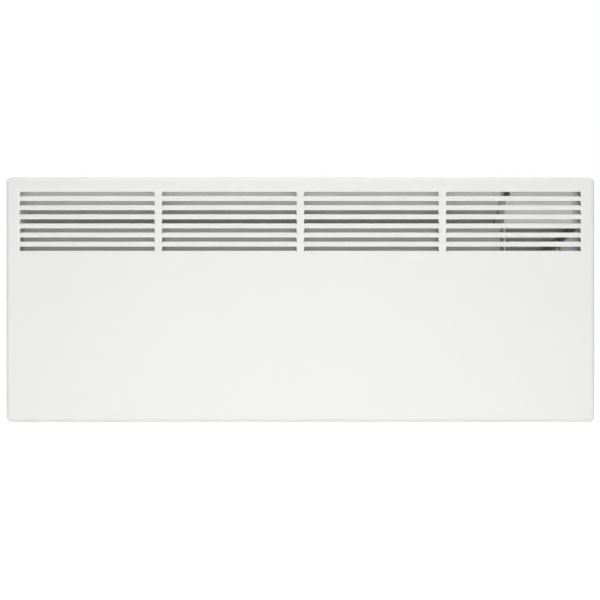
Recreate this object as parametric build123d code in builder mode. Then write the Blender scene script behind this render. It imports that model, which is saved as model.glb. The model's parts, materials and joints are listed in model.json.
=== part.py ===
from build123d import *
import os
from math import atan, degrees, radians, tan

os.makedirs("parts", exist_ok=True)

# Wall panel convector heater, in millimetres.
# Z is up, X runs to the right seen from the front, the front faces -Y and the wall is the plane Y = 0.
# The origin is the centre of the four wall screws.

# ---------------------------------------------------------------- driving dimensions: housing
width = 800.0  # outer width of the front
height = 334.0  # outer height of the front
body_depth = 80.0  # front face to the rear face of the back cover
wall_gap = 18.0  # air gap between the wall and the back cover
sheet = 1.0  # steel sheet of the front and back covers
roll_radius = 7.0  # outer radius of the rolled front edges
corner_radius = 8.0  # corner of the front, seen from the front
rim_radius = 2.0  # outer bend radius of the rear rim
rim_width = 12.0  # rear rim that the back cover is screwed to

# louvres
louvre_columns = 4
louvre_rows = 7
louvre_margin = 20.6  # side of the heater to the first and last louvres
slot_height = 5.5  # clear height of one louvre
slot_flare = 0.7  # how far each end leans outward towards the sill
mullion = 10.5  # sheet left between two columns
row_pitch = 12.34
first_slot_drop = 20.9  # top of the heater to the top of the first row
lip_radius = 2.0  # outer radius of the sill rolled inward
lip_run = 3.5  # flat run of the sill behind its roll
lip_end_gap = 0.6  # relief between a sill and the end of its slot
hot_rows = 4  # rows above the heat shield that the warm air leaves by

# air inlet in the bottom wall
vent_margin = 31.7  # ends of the heating chamber to the first and last slots
vent_bridge = 8.0  # sheet left between two slots
vent_width = 6.0
vent_row_gap = 22.0
vent_columns = 13
vent_rows = 2

# back cover
back_inset = 2.5  # back cover's edge, in from the outline of the front
back_corner_radius = 5.0
bead_length = 320.0
bead_width = 12.0
bead_height = 1.5
bead_spacing = 60.0
back_vent_length = 30.0
back_vent_width = 4.0
back_vent_pitch = 10.0
back_vent_count = 6
back_vent_shift = 8.0
cover_screw_margin = 61.0  # side of the heater to the first and last screws of a row
cover_screw_columns = 4

# ---------------------------------------------------------------- driving dimensions: hanging
bracket_spacing = 440.0  # between the middles of the two wall brackets
wall_hole_spacing = 170.0  # between the two wall screws of one bracket
wall_hole_radius = 3.0
strap_width = 30.0
strap_sheet = 1.5
strap_top = 126.0
strap_bottom = -110.0
strap_corner_radius = 4.0
flange_top = 80.0
flange_bottom = -72.0
flange_gap = 0.3  # flange to the back cover
hook_levels = (62.0, -52.0)  # top face of the hooks' arms
hook_arm = 8.0
hook_rise = 8.0
hook_tip = 4.0
hook_gap = 0.5  # hook tip to the inside of the back cover
hook_rest_gap = 0.1  # slot edge above the hook's arm
hook_slot_play = 0.8
catch_level = 112.0
catch_reach = 16.0
catch_hub_radius = 7.0
catch_arm_width = 9.0
catch_thickness = 4.0
catch_hub_height = 10.2
catch_play = 0.3
catch_ledge_gap = 0.5
ledge_width = 20.0
ledge_depth = 11.0
ledge_relief = 1.0
rivet_radius = 2.5
rivet_head_radius = 4.5
rivet_head_height = 1.5
running_clearance = 0.05
spacer_radius = 8.0
spacer_stem_radius = 3.0
spacer_stem_length = 5.0
spacer_inset = 40.0  # middle of a spacer, in from the side
spacer_rise = 27.0  # middle of a spacer, above the bottom
spacer_edge_radius = 1.5

# ---------------------------------------------------------------- driving dimensions: heating chamber
chassis_sheet = 0.8
chassis_bend = 1.6  # bend radius of the inner sheets
chassis_rim_gap = 1.5  # inner sheets to the rear rim
chassis_front_gap = 1.0  # end plates behind the rolled sills
chassis_flange = 14.0
chassis_screw_spacing = 120.0
partition_notch_depth = 8.0  # cut-back of the partition's front edge beside the upper louvres
partition_notch_height = 27.5
end_plate_margin = 1.6  # end plate beyond the outer ends of the louvres
control_bay = 122.0  # from the right side to the partition
shield_gap = 5.0  # heat shield behind the rolled sills
shield_step = 3.0  # heat shield's top edge below the last hot row's sill
baffle_flange = 10.0
joggle_width = 4.0  # heat shield's face, short of the partition
joggle_depth = 6.0
joggle_flange = 7.0
reflector_gap = 11.0  # reflector before the back cover
reflector_top_drop = 66.0  # top of the heater to the top of the reflector
deflector_front_gap = 1.5  # deflector's front edge behind the rolled sills
deflector_lap = 10.0
deflector_hem = 10.0
deflector_end_gap = 1.5  # deflector, short of the partition
element_rise = 95.0  # middle of the element, above the bottom
rod_radius = 3.25
rod_spacing = 16.0
fin_end_gap = 35.7  # ends of the fins to the end plate and the partition
fin_thickness = 1.6
fin_reach = 30.0
fin_rib_pitch = 4.8
fin_angle = 48.0
fin_rib_count = 5
fin_rib_height = 4.2
fin_rib_thickness = 1.2
hub_wall = 2.4
bush_flange_radius = 7.0
bush_flange_thickness = 4.0
bush_neck_radius = 5.0
bush_neck_length = 3.5
fit_clearance = 0.1
pin_radius = 1.75
pin_length = 6.5
link_thickness = 0.8
link_width = 8.0
nut_flats = 6.0
nut_thickness = 2.2
ring_radius = 3.8
ring_thickness = 0.8
ring_overlap = 0.2
ring_barrel_radius = 1.8
ring_barrel_length = 7.0
cutout_level = 10.0
cutout_radius = 8.0
cutout_cap_depth = 3.0
cutout_body_depth = 9.0
cutout_rim = 1.0
cutout_ear_spacing = 26.0
cutout_ear_width = 8.0
cutout_ear_thickness = 1.0
cutout_screw_length = 4.0
tab_spacing = 10.0
tab_width = 6.3
tab_thickness = 0.8
tab_length = 8.0
grommet_radius = 4.4
grommet_bore_radius = 1.6
grommet_thickness = 5.0
grommet_groove = 1.2

# ---------------------------------------------------------------- driving dimensions: controls
control_shield_gap = 1.5  # control shield behind the rolled sills
control_shield_margin = 11.5  # right edge of the control shield, in from the right side
control_shield_flange = 12.0
control_shield_wing = 18.0  # right end of the shield that leans back to clear the tray
control_shield_lean = 6.0
control_shield_relief = 6.5  # cut corner beside the first louvre row
control_shield_relief_height = 15.0
tray_middle_gap = 42.0  # middle of the tray, behind the front face
tray_opening_depth = 50.0  # opening in the side wall, measured along Y
tray_wall = 2.0
tray_floor_gap = 48.0  # visible floor of the recess, in from the right side
tray_top_level = 111.5
tray_floor_top = 69.5
tray_floor_bottom = -60.0
tray_bottom_level = -72.0
tray_flange = 8.0
tray_edge_radius = 4.0
tray_screw_head_radius = 2.8
tray_screw_sink = 0.9
knob_level = 30.0
knob_skirt_radius = 20.0
knob_skirt_thickness = 2.5
knob_radius = 15.0
knob_height = 15.0
knob_top_radius = 14.5
knob_flute_radius = 1.6
knob_flute_depth = 0.9  # at the foot of the grip
knob_flute_count = 18
knob_recess_radius = 8.5
knob_recess_depth = 3.6
knob_floor_gap = 0.6
knob_pointer_length = 11.0
knob_pointer_width = 2.2
knob_pointer_height = 0.8
spindle_radius = 3.0
spindle_flat = 0.8
spindle_tail = 14.0
spindle_grip = 13.0
thermostat_depth = 28.0
thermostat_width = 32.0
thermostat_height = 36.0
thermostat_bush_radius = 5.0
thermostat_bush_length = 3.4
thermostat_nut_flats = 13.0
thermostat_nut_thickness = 2.5
thermostat_tab_y = 7.0
thermostat_tab_z = 6.0
rocker_level = -18.0
rocker_spacing = 21.0
rocker_length = 18.0
rocker_width = 11.0
rocker_clearance = 0.35
rocker_tilt = 9.0
rocker_pivot_sink = 2.5  # pivot below the face of the bezel
rocker_valley = 2.0  # middle of the rocker's face, in front of its pivot
rocker_depth = 4.0
rocker_pin_radius = 1.25
rocker_pin_length = 1.0
switch_wall = 1.5
rocker_well = 12.0
switch_bezel = 2.0
switch_bezel_thickness = 1.8
switch_body_depth = 15.0
switch_tab_rise = 5.0
lamp_level = -44.0
lamp_radius = 4.5
lamp_body_radius = 4.0
lamp_body_depth = 18.0
lamp_bezel_thickness = 1.2
lamp_dome = 1.6

# ---------------------------------------------------------------- driving dimensions: supply and wiring
terminal_block_inset = 78.0  # middle of the terminal block, in from the right side
terminal_block_rise = 59.0  # middle of the terminal block, above the bottom
terminal_way = 12.0
terminal_block_height = 22.0
terminal_block_depth = 17.0
terminal_screw_radius = 2.0
terminal_bore_radius = 2.0
terminal_bore_depth = 5.0
terminal_screw_rise = 6.0
terminal_screw_sink = 1.5
terminal_screw_length = 5.0
terminal_notch = 1.5
bush_inset = 78.0  # cord inlet, in from the right side
inlet_gap = 24.0  # cord inlet, before the back cover
inlet_bore_radius = 4.1
inlet_neck_radius = 7.0
inlet_flange_radius = 9.5
inlet_flange_thickness = 2.0
inlet_length = 14.0
inlet_collar_radius = 8.2
inlet_collar_height = 2.5
inlet_collar_gap = 0.2
clamp_length = 30.0
clamp_thickness = 4.0
clamp_width = 9.0
clamp_leg = 6.0
clamp_rise = 33.0  # middle of the cord clamp, above the bottom
earth_stud_inset = 24.0
earth_stud_rise = 91.0  # earth stud, above the bottom
earth_stud_radius = 2.0
earth_stud_length = 9.0
cover_stud_inset = 45.5
cover_stud_drop = 24.5  # stud inside the front, below the lowest sill
cover_stud_length = 7.0
wire_radius = 1.25
earth_wire_radius = 1.4
capillary_radius = 0.9
bulb_radius = 3.5
bulb_length = 36.0
bulb_offset = 6.4  # middle of the bulb, from the partition
bulb_top_rise = 57.0  # upper end of the bulb, above the bottom
bulb_clip_wall = 1.2
bulb_clip_width = 8.0
bulb_shift = 2.0  # bulb and capillary, in from the thermostat's front edge
wire_bend = 6.0  # bend radius of the wires
wire_wide_bend = 8.0
wire_tab_bend = 5.0  # bend radius beside a tab
low_lead_run = 12.0  # low heat wire's crossing, beyond the barrel of its ring
low_lead_turn = 11.0  # low heat wire's upright run, before the ends of the switch tabs
high_lead_run = 9.0
high_lead_turn = 13.0
cutout_tab_turn = 8.0  # live wire's upright run, before the ends of the cut-out's tabs
cutout_lead_turn = 9.0
thermostat_tab_turn = 6.0
live_lead_rise = 26.0  # live wire's straight rise above the terminal block
live_lead_slant = 60.0  # end of its slant, above the terminal block
live_lead_shift = 6.0
live_lead_bend = 12.0
earth_lead_rise = 12.0
bond_rise = 12.0  # crossing of the cover bond, above the lowest sill
bond_tray_gap = 6.0  # crossing of the cover bond, to the left of the tray
bond_front_gap = 8.0
bond_back_bend = 10.0
bond_front_bend = 5.0
bond_foot = 4.0  # straight end of the cover bond above its ring
bond_slant = 9.0
capillary_run = 10.0
capillary_rise = 4.0  # capillary, above the thermostat's lower edge
capillary_drop = 9.0  # capillary's straight end above the bulb
capillary_bend = 7.0

# screws
screw_shank_radius = 1.5
screw_head_radius = 3.4
screw_head_top_radius = 2.45
screw_head_height = 1.9
screw_length = 8.0
screw_clearance = 0.05

# ---------------------------------------------------------------- planes and places
half_width = width / 2
half_height = height / 2
back_y = -wall_gap
rim_y = back_y - sheet
front_y = back_y - body_depth
inside_front_y = front_y + sheet
sill_rear_y = front_y + lip_radius + lip_run
side_inside_x = half_width - sheet

TO_WALL = (-90, 0, 0)
TO_FRONT = (90, 0, 0)
TO_RIGHT = (0, 90, 0)
TO_LEFT = (0, -90, 0)
DOWN = (180, 0, 0)

louvre_span = width - 2 * louvre_margin
slot_length = (louvre_span - (louvre_columns - 1) * mullion) / louvre_columns  # at its top edge
column_middles = [
    (column - (louvre_columns - 1) / 2) * (slot_length + mullion) for column in range(louvre_columns)
]
row_sills = [half_height - first_slot_drop - slot_height - row * row_pitch for row in range(louvre_rows)]

bracket_middles = (-bracket_spacing / 2, bracket_spacing / 2)
ledge_top = catch_level - catch_reach - catch_ledge_gap

chassis_half = half_height - rim_width - chassis_rim_gap
chassis_front_y = sill_rear_y + chassis_front_gap
end_plate_x = -louvre_span / 2 - end_plate_margin  # face of the left end plate inside the chamber
partition_x = half_width - control_bay  # face of the partition inside the chamber
chamber_length = partition_x - end_plate_x
chamber_middle_x = (partition_x + end_plate_x) / 2
vent_pitch = (chamber_length - 2 * vent_margin) / vent_columns
shield_y = sill_rear_y + shield_gap
reflector_y = rim_y - reflector_gap
shield_top = row_sills[hot_rows - 1] - shield_step
reflector_top = half_height - reflector_top_drop
element_y = (shield_y + reflector_y) / 2
element_level = element_rise - half_height
rod_levels = (element_level + rod_spacing / 2, element_level - rod_spacing / 2)
fin_length = chamber_length - 2 * fin_end_gap
lead_pass_y = rim_y - reflector_gap / 2
lead_pass_level = rod_levels[1]
deflector_front_y = sill_rear_y + deflector_front_gap
deflector_foot_y = reflector_y - 2 * chassis_sheet
bush_left_x = end_plate_x - chassis_sheet - bush_neck_length
bush_right_x = partition_x + chassis_sheet + bush_neck_length
ring_exit = ring_radius - ring_overlap + ring_barrel_length

tray_y = front_y + tray_middle_gap
tray_floor_x = half_width - tray_floor_gap
tray_back_x = tray_floor_x - tray_wall
tray_opening_height = tray_top_level - tray_bottom_level
tray_middle_level = (tray_top_level + tray_bottom_level) / 2

knob_base_x = tray_floor_x + knob_floor_gap
rocker_pivot_x = tray_floor_x + switch_bezel_thickness - rocker_pivot_sink
rocker_places = (tray_y - rocker_spacing / 2, tray_y + rocker_spacing / 2)
switch_width = rocker_width + 2 * rocker_clearance + 2 * switch_wall
switch_length = rocker_length + 2 * rocker_clearance + 2 * switch_wall

body_middle_y = (front_y + rim_y) / 2
inlet_x = half_width - bush_inset
inlet_y = rim_y - inlet_gap
earth_stud_x = half_width - earth_stud_inset
earth_stud_level = earth_stud_rise - half_height
cover_stud_level = row_sills[-1] - cover_stud_drop
block_x = half_width - terminal_block_inset
terminal_block_level = terminal_block_rise - half_height
clamp_level = clamp_rise - half_height
bulb_top_level = bulb_top_rise - half_height

hook_reach = wall_gap + sheet + hook_gap + hook_tip
hook_slot_height = hook_rest_gap + hook_arm + hook_rise + hook_slot_play
catch_front = strap_sheet + catch_play + catch_hub_height
rivet_length = catch_front + catch_play


def cover_screw_places():
    """Screw places (X, Z) on the rim: rows along the top and bottom, and one in the middle of each side."""
    first = cover_screw_margin - half_width
    spacing = -2 * first / (cover_screw_columns - 1)
    columns = [first + spacing * number for number in range(cover_screw_columns)]
    level = half_height - rim_width / 2
    side = half_width - rim_width / 2
    rows = [(x, z) for x in columns for z in (-level, level)]
    return rows + [(-side, 0), (side, 0)]


def chassis_screw_places():
    """Screw places (X, Z) on the rear flanges of the end plate and the partition."""
    columns = (end_plate_x + chassis_flange / 2, partition_x + chassis_sheet + chassis_flange / 2)
    return [(x, z) for x in columns for z in (-chassis_screw_spacing, 0, chassis_screw_spacing)]


def block_screw_places():
    """Screw places (X, Z) between the ways of the terminal block."""
    return [(block_x + side * terminal_way / 2, terminal_block_level) for side in (-1, 1)]


def clamp_screw_places():
    """Screw places (X, Z) in the two legs of the cord clamp."""
    reach = (clamp_length - clamp_leg) / 2
    return [(inlet_x - reach, clamp_level), (inlet_x + reach, clamp_level)]


def hook_slot_places():
    """Middles (X, Z) of the slots in the back cover, one for each hook of the brackets."""
    offset_x = (strap_width - strap_sheet) / 2
    columns = [x + side * offset_x for x in bracket_middles for side in (-1, 1)]
    levels = [level + hook_rest_gap - hook_slot_height / 2 for level in hook_levels]
    return [(x, z) for x in columns for z in levels]


def spacer_places():
    """Middles (X, Z) of the two rubber spacers near the lower corners."""
    return [(side * (half_width - spacer_inset), spacer_rise - half_height) for side in (-1, 1)]


def back_vent_places():
    """Middles (X, Z) of the vents behind the control bay."""
    x = (partition_x + half_width - rim_width) / 2 + back_vent_shift
    first = -back_vent_pitch * (back_vent_count - 1) / 2
    return [(x, first + back_vent_pitch * number) for number in range(back_vent_count)]


def tray_screw_seats():
    """Countersunk screw seats on the right side wall, above and below the control tray's opening."""
    levels = (tray_top_level + tray_flange / 2, tray_bottom_level - tray_flange / 2)
    return [Location((half_width, tray_y, z), TO_RIGHT) for z in levels]


def cutout_screw_seats():
    """Screw seats on the two ears of the overheat cut-out."""
    seat_x = partition_x + chassis_sheet + cutout_ear_thickness
    reach = cutout_ear_spacing / 2
    return [Location((seat_x, element_y + side * reach, cutout_level), TO_RIGHT) for side in (-1, 1)]


def wall_facing(places, y):
    """Locations at (X, Z) places on the plane Y = y, with their own Z pointing at the wall."""
    return [Location((x, y, z), TO_WALL) for x, z in places]


def pan_screws(seats, length):
    """Pan-head screws: each seat is the plane under the head, with its Z pointing out of the head."""
    with BuildPart() as screws:
        with Locations(*seats):
            Cone(screw_head_radius, screw_head_top_radius, screw_head_height,
                 align=(Align.CENTER, Align.CENTER, Align.MIN))
            Cylinder(screw_shank_radius, length, align=(Align.CENTER, Align.CENTER, Align.MAX))
    return screws


# ---------------------------------------------------------------- front cover
# the sill of one louvre, rolled inward, with its middle at the origin of X and Z
with BuildPart() as louvre_sill:
    with BuildSketch(Plane.YZ):
        with BuildLine():
            outer = CenterArc((front_y + lip_radius, -lip_radius), lip_radius, 180, -90)
            inner = CenterArc((front_y + lip_radius, -lip_radius), lip_radius - sheet, 180, -90)
            Polyline(
                outer @ 1,
                (front_y + lip_radius + lip_run, 0),
                (front_y + lip_radius + lip_run, -sheet),
                inner @ 1,
            )
            Line(inner @ 0, outer @ 0)
        make_face()
    extrude(amount=slot_length / 2 + slot_flare - lip_end_gap, both=True)


def rolled_box(inset):
    """Closed box with a rolled front edge and a bent rear edge, all its faces moved inward by the inset."""
    with BuildPart() as box:
        with BuildSketch(Plane.XZ.offset(inset - rim_y)):
            RectangleRounded(width - 2 * inset, height - 2 * inset, corner_radius - inset)
        extrude(amount=body_depth - sheet - 2 * inset)
        fillet(box.faces().sort_by(Axis.Y)[0].edges(), roll_radius - inset)
        fillet(box.faces().sort_by(Axis.Y)[-1].edges(), rim_radius - inset)
    return box


cover_outside = rolled_box(0)
cover_inside = rolled_box(sheet)

with BuildPart() as front_cover:
    add(cover_outside.part)
    add(cover_inside.part, mode=Mode.SUBTRACT)
    # the rear is open inside the rim
    with BuildSketch(Plane.XZ.offset(-rim_y)):
        RectangleRounded(width - 2 * rim_width, height - 2 * rim_width, back_corner_radius)
    extrude(amount=sheet, mode=Mode.SUBTRACT)
    # air inlet in the bottom wall
    with BuildSketch(Plane.XY.offset(-half_height)):
        with Locations((chamber_middle_x, body_middle_y)):
            with GridLocations(vent_pitch, vent_row_gap, vent_columns, vent_rows):
                SlotOverall(vent_pitch - vent_bridge, vent_width)
        with Locations((inlet_x, inlet_y)):
            Circle(inlet_neck_radius + fit_clearance)
    extrude(amount=sheet, mode=Mode.SUBTRACT)
    # opening for the control tray in the right side wall
    with BuildSketch(Plane.YZ.offset(side_inside_x)):
        with Locations((tray_y, tray_middle_level)):
            RectangleRounded(tray_opening_depth, tray_opening_height, tray_edge_radius)
    extrude(amount=sheet, mode=Mode.SUBTRACT)
    with Locations(*tray_screw_seats()):
        Cylinder(screw_shank_radius + screw_clearance, 3 * sheet, mode=Mode.SUBTRACT)
        Cone(tray_screw_head_radius, screw_shank_radius, tray_screw_sink,
             rotation=DOWN, align=(Align.CENTER, Align.CENTER, Align.MIN), mode=Mode.SUBTRACT)
    # screw holes in the rim
    with Locations(*wall_facing(cover_screw_places(), rim_y)):
        Cylinder(screw_shank_radius + screw_clearance, 3 * sheet, mode=Mode.SUBTRACT)
    # louvre openings, each with its ends leaning outward to the sill
    with BuildSketch(Plane.XZ.offset(-front_y)):
        with Locations(*[(x, z - lip_radius) for x in column_middles for z in row_sills]):
            Trapezoid(
                slot_length + 2 * slot_flare,
                slot_height + lip_radius,
                degrees(atan((slot_height + lip_radius) / slot_flare)),
                align=(Align.CENTER, Align.MIN),
            )
    extrude(amount=-sheet, mode=Mode.SUBTRACT)
    with Locations(*[(x, 0, z) for x in column_middles for z in row_sills]):
        add(louvre_sill.part)
front_cover.part.label = "front_cover"

# ---------------------------------------------------------------- back cover
with BuildPart() as back_cover:
    with BuildSketch(Plane.XZ.offset(-back_y)):
        RectangleRounded(width - 2 * back_inset, height - 2 * back_inset, back_corner_radius)
        with Locations(*hook_slot_places()):
            Rectangle(strap_sheet + 2 * hook_slot_play, hook_slot_height, mode=Mode.SUBTRACT)
        with Locations(*[(x, ledge_top - sheet) for x in bracket_middles]):
            Rectangle(ledge_width + 2 * ledge_relief, ledge_depth,
                      align=(Align.CENTER, Align.MAX), mode=Mode.SUBTRACT)
        with Locations(*back_vent_places()):
            SlotOverall(back_vent_length, back_vent_width, mode=Mode.SUBTRACT)
        with Locations(*spacer_places()):
            Circle(spacer_stem_radius + screw_clearance, mode=Mode.SUBTRACT)
        with Locations(*cover_screw_places(), *chassis_screw_places(), *block_screw_places(),
                       *clamp_screw_places()):
            Circle(screw_shank_radius + screw_clearance, mode=Mode.SUBTRACT)
        with Locations((earth_stud_x, earth_stud_level)):
            Circle(earth_stud_radius + screw_clearance, mode=Mode.SUBTRACT)
    extrude(amount=sheet)
    # two stiffening beads pressed outward
    with BuildSketch(Plane.XZ.offset(-back_y)):
        with GridLocations(0, bead_spacing, 1, 2):
            SlotOverall(bead_length, bead_width)
    extrude(amount=-bead_height)
    with BuildSketch(Plane.XZ.offset(-rim_y)):
        with GridLocations(0, bead_spacing, 1, 2):
            SlotOverall(bead_length - 2 * sheet, bead_width - 2 * sheet)
    extrude(amount=-bead_height, mode=Mode.SUBTRACT)
    # a ledge bent out behind each bracket, which the lock catch holds down
    with Locations(*[(x, rim_y, ledge_top) for x in bracket_middles]):
        Box(ledge_width, sheet + ledge_depth, sheet, align=(Align.CENTER, Align.MIN, Align.MAX))
back_cover.part.label = "back_cover"

cover_screws = pan_screws(wall_facing(cover_screw_places(), back_y), screw_length)
cover_screws.part.label = "cover_screws"

chassis_screws = pan_screws(wall_facing(chassis_screw_places(), back_y), screw_length)
chassis_screws.part.label = "chassis_screws"

# rubber spacers keep the lower edge parallel to the wall
with BuildPart() as wall_spacers:
    with Locations(*wall_facing(spacer_places(), back_y)):
        Cylinder(spacer_radius, wall_gap, align=(Align.CENTER, Align.CENTER, Align.MIN))
        Cylinder(spacer_stem_radius, spacer_stem_length, align=(Align.CENTER, Align.CENTER, Align.MAX))
    fillet(wall_spacers.faces().sort_by(Axis.Y)[-2:].edges(), spacer_edge_radius)
wall_spacers.part.label = "wall_spacers"


# ---------------------------------------------------------------- wall brackets and lock catches
def wall_bracket(middle):
    """Pressed channel on the wall: a strap with two flanges, each with two hooks for the back cover."""
    with BuildPart() as bracket:
        with BuildSketch(Plane.XZ):
            with Locations((middle, (strap_top + strap_bottom) / 2)):
                RectangleRounded(strap_width, strap_top - strap_bottom, strap_corner_radius)
            with Locations((middle, wall_hole_spacing / 2), (middle, -wall_hole_spacing / 2)):
                Circle(wall_hole_radius, mode=Mode.SUBTRACT)
            with Locations((middle, catch_level)):
                Circle(rivet_radius + running_clearance, mode=Mode.SUBTRACT)
        extrude(amount=strap_sheet)
        for side in (-1, 1):
            with BuildSketch(Plane.YZ.offset(middle + side * strap_width / 2)):
                with Locations((0, flange_bottom)):
                    Rectangle(wall_gap - flange_gap, flange_top - flange_bottom, align=(Align.MAX, Align.MIN))
                for level in hook_levels:
                    with Locations((-hook_reach, level - hook_arm)):
                        Rectangle(hook_reach - wall_gap + strap_sheet, hook_arm, align=Align.MIN)
                        Rectangle(hook_tip, hook_arm + hook_rise, align=Align.MIN)
            extrude(amount=-side * strap_sheet)
    return bracket


wall_bracket_left = wall_bracket(bracket_middles[0])
wall_bracket_left.part.label = "wall_bracket_left"
wall_bracket_right = wall_bracket(bracket_middles[1])
wall_bracket_right.part.label = "wall_bracket_right"


def lock_catch(middle):
    """Turning catch on its rivet: a hub with an arm that points down over the ledge of the back cover."""
    with BuildPart() as catch:
        with BuildSketch(Plane.XZ.offset(strap_sheet + catch_play)):
            with Locations((middle, catch_level)):
                Circle(catch_hub_radius)
        extrude(amount=catch_hub_height)
        with BuildSketch(Plane.XZ.offset(catch_front - catch_thickness)):
            with Locations((middle, catch_level)):
                Rectangle(catch_arm_width, catch_reach, align=(Align.CENTER, Align.MAX))
                Circle(catch_reach, mode=Mode.INTERSECT)
        extrude(amount=catch_thickness)
        with BuildSketch(Plane.XZ.offset(strap_sheet)):
            with Locations((middle, catch_level)):
                Circle(rivet_radius + running_clearance)
        extrude(amount=catch_hub_height + 2 * catch_play, mode=Mode.SUBTRACT)
    return catch


lock_catch_left = lock_catch(bracket_middles[0])
lock_catch_left.part.label = "lock_catch_left"
lock_catch_right = lock_catch(bracket_middles[1])
lock_catch_right.part.label = "lock_catch_right"

with BuildPart() as catch_rivets:
    with Locations(*wall_facing([(x, catch_level) for x in bracket_middles], 0)):
        Cylinder(rivet_radius, rivet_length, align=(Align.CENTER, Align.CENTER, Align.MAX))
    with Locations(*wall_facing([(x, catch_level) for x in bracket_middles], -rivet_length)):
        Cylinder(rivet_head_radius, rivet_head_height, align=(Align.CENTER, Align.CENTER, Align.MAX))
catch_rivets.part.label = "catch_rivets"


# ---------------------------------------------------------------- chassis and sheets of the heating chamber
def bent_sheet(points, side, bottom, top):
    """Inner sheet with upright bends: one face runs through the points (X, Y), the other to one side."""
    with BuildPart() as bent:
        with BuildSketch(Plane.XY.offset(bottom)):
            with BuildLine():
                FilletPolyline(*points, radius=chassis_bend)
                offset(amount=chassis_sheet, side=side)
            make_face()
        extrude(amount=top - bottom)
    return bent


def chassis_plate(web_x):
    """Upright plate from the back cover to the front: a web at X = web_x and a rear flange to its right."""
    flange_x = web_x + chassis_sheet + chassis_flange
    outline = [(web_x, chassis_front_y), (web_x, rim_y), (flange_x, rim_y)]
    with BuildPart() as plate:
        add(bent_sheet(outline, Side.RIGHT, -chassis_half, chassis_half).part)
        with Locations(*[Location((web_x, element_y, level), TO_RIGHT) for level in rod_levels]):
            Cylinder(bush_neck_radius + fit_clearance, 3 * chassis_sheet, mode=Mode.SUBTRACT)
        with Locations(Location((web_x, lead_pass_y, lead_pass_level), TO_RIGHT)):
            Cylinder(grommet_radius - grommet_groove, 3 * chassis_sheet, mode=Mode.SUBTRACT)
        with Locations(*wall_facing(chassis_screw_places(), rim_y)):
            Cylinder(screw_shank_radius + screw_clearance, 3 * chassis_sheet, mode=Mode.SUBTRACT)
    return plate


end_plate_left = chassis_plate(end_plate_x - chassis_sheet)
end_plate_left.part.label = "end_plate_left"

partition_plate = chassis_plate(partition_x)
with partition_plate:
    with Locations(Location((partition_x, element_y, cutout_level), TO_RIGHT)):
        Cylinder(cutout_radius + fit_clearance, 3 * chassis_sheet, mode=Mode.SUBTRACT)
    with Locations(*cutout_screw_seats()):
        Cylinder(screw_shank_radius + screw_clearance, 2 * cutout_screw_length, mode=Mode.SUBTRACT)
    with Locations((partition_x, chassis_front_y, chassis_half)):
        Box(4 * chassis_sheet, 2 * partition_notch_depth, 2 * partition_notch_height, mode=Mode.SUBTRACT)
partition_plate.part.label = "partition_plate"

# heat shield behind the front, with a flange at each end turned back; a joggle clears the partition's edge
joggle_x = partition_x - joggle_width
joggle_y = shield_y + joggle_depth
front_heat_shield = bent_sheet(
    [
        (end_plate_x, shield_y + baffle_flange), (end_plate_x, shield_y), (joggle_x, shield_y),
        (joggle_x, joggle_y), (partition_x, joggle_y), (partition_x, joggle_y + joggle_flange),
    ],
    Side.LEFT, -chassis_half, shield_top,
)
front_heat_shield.part.label = "front_heat_shield"

# reflector before the back cover; its end flanges stop below the foot of the deflector
with BuildPart() as rear_reflector:
    add(bent_sheet(
        [
            (end_plate_x, reflector_y - baffle_flange), (end_plate_x, reflector_y),
            (partition_x, reflector_y), (partition_x, reflector_y - baffle_flange),
        ],
        Side.RIGHT, -chassis_half, reflector_top - deflector_lap - fit_clearance,
    ).part)
    with BuildSketch(Plane.XY.offset(-chassis_half)):
        with Locations((chamber_middle_x, reflector_y)):
            Rectangle(chamber_length - 2 * chassis_bend, chassis_sheet, align=(Align.CENTER, Align.MAX))
    extrude(amount=reflector_top + chassis_half)
rear_reflector.part.label = "rear_reflector"

# sloping sheet that turns the warm air forward to the louvres; its foot laps the reflector
with BuildPart() as air_deflector:
    with BuildSketch(Plane.YZ.offset(end_plate_x)):
        with BuildLine():
            FilletPolyline(
                (deflector_front_y + deflector_hem, chassis_half),
                (deflector_front_y, chassis_half),
                (deflector_foot_y, reflector_top),
                (deflector_foot_y, reflector_top - deflector_lap),
                radius=chassis_bend,
            )
            offset(amount=chassis_sheet, side=Side.LEFT)
        make_face()
    extrude(amount=chamber_length - deflector_end_gap)
air_deflector.part.label = "air_deflector"

# ---------------------------------------------------------------- heating element
with BuildPart() as heating_element_fins:
    with BuildSketch(Plane.YZ.offset(chamber_middle_x - fin_length / 2)):
        with Locations((element_y, element_level)):
            SlotCenterToCenter(rod_spacing, 2 * (rod_radius + hub_wall), rotation=90)
        for rise, level in zip((1, -1), rod_levels):
            for turn in (fin_angle, 180 - fin_angle):
                with Locations(Location((element_y, level, 0), (0, 0, rise * turn))):
                    Rectangle(fin_reach, fin_thickness, align=(Align.MIN, Align.CENTER))
                    for number in range(fin_rib_count):
                        with Locations((fin_reach - fin_rib_thickness / 2 - number * fin_rib_pitch, 0)):
                            Rectangle(fin_rib_thickness, fin_rib_height)
        with Locations(*[(element_y, level) for level in rod_levels]):
            Circle(rod_radius + fit_clearance, mode=Mode.SUBTRACT)
    extrude(amount=fin_length)
heating_element_fins.part.label = "heating_element_fins"

rod_seats = [Location((bush_left_x, element_y, level), TO_RIGHT) for level in rod_levels]
with BuildPart() as heating_rods:
    with Locations(*rod_seats):
        Cylinder(rod_radius, bush_right_x - bush_left_x, align=(Align.CENTER, Align.CENTER, Align.MIN))
        with Locations((0, 0, -pin_length)):
            Cylinder(pin_radius, bush_right_x - bush_left_x + 2 * pin_length,
                     align=(Align.CENTER, Align.CENTER, Align.MIN))
heating_rods.part.label = "heating_rods"

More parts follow.
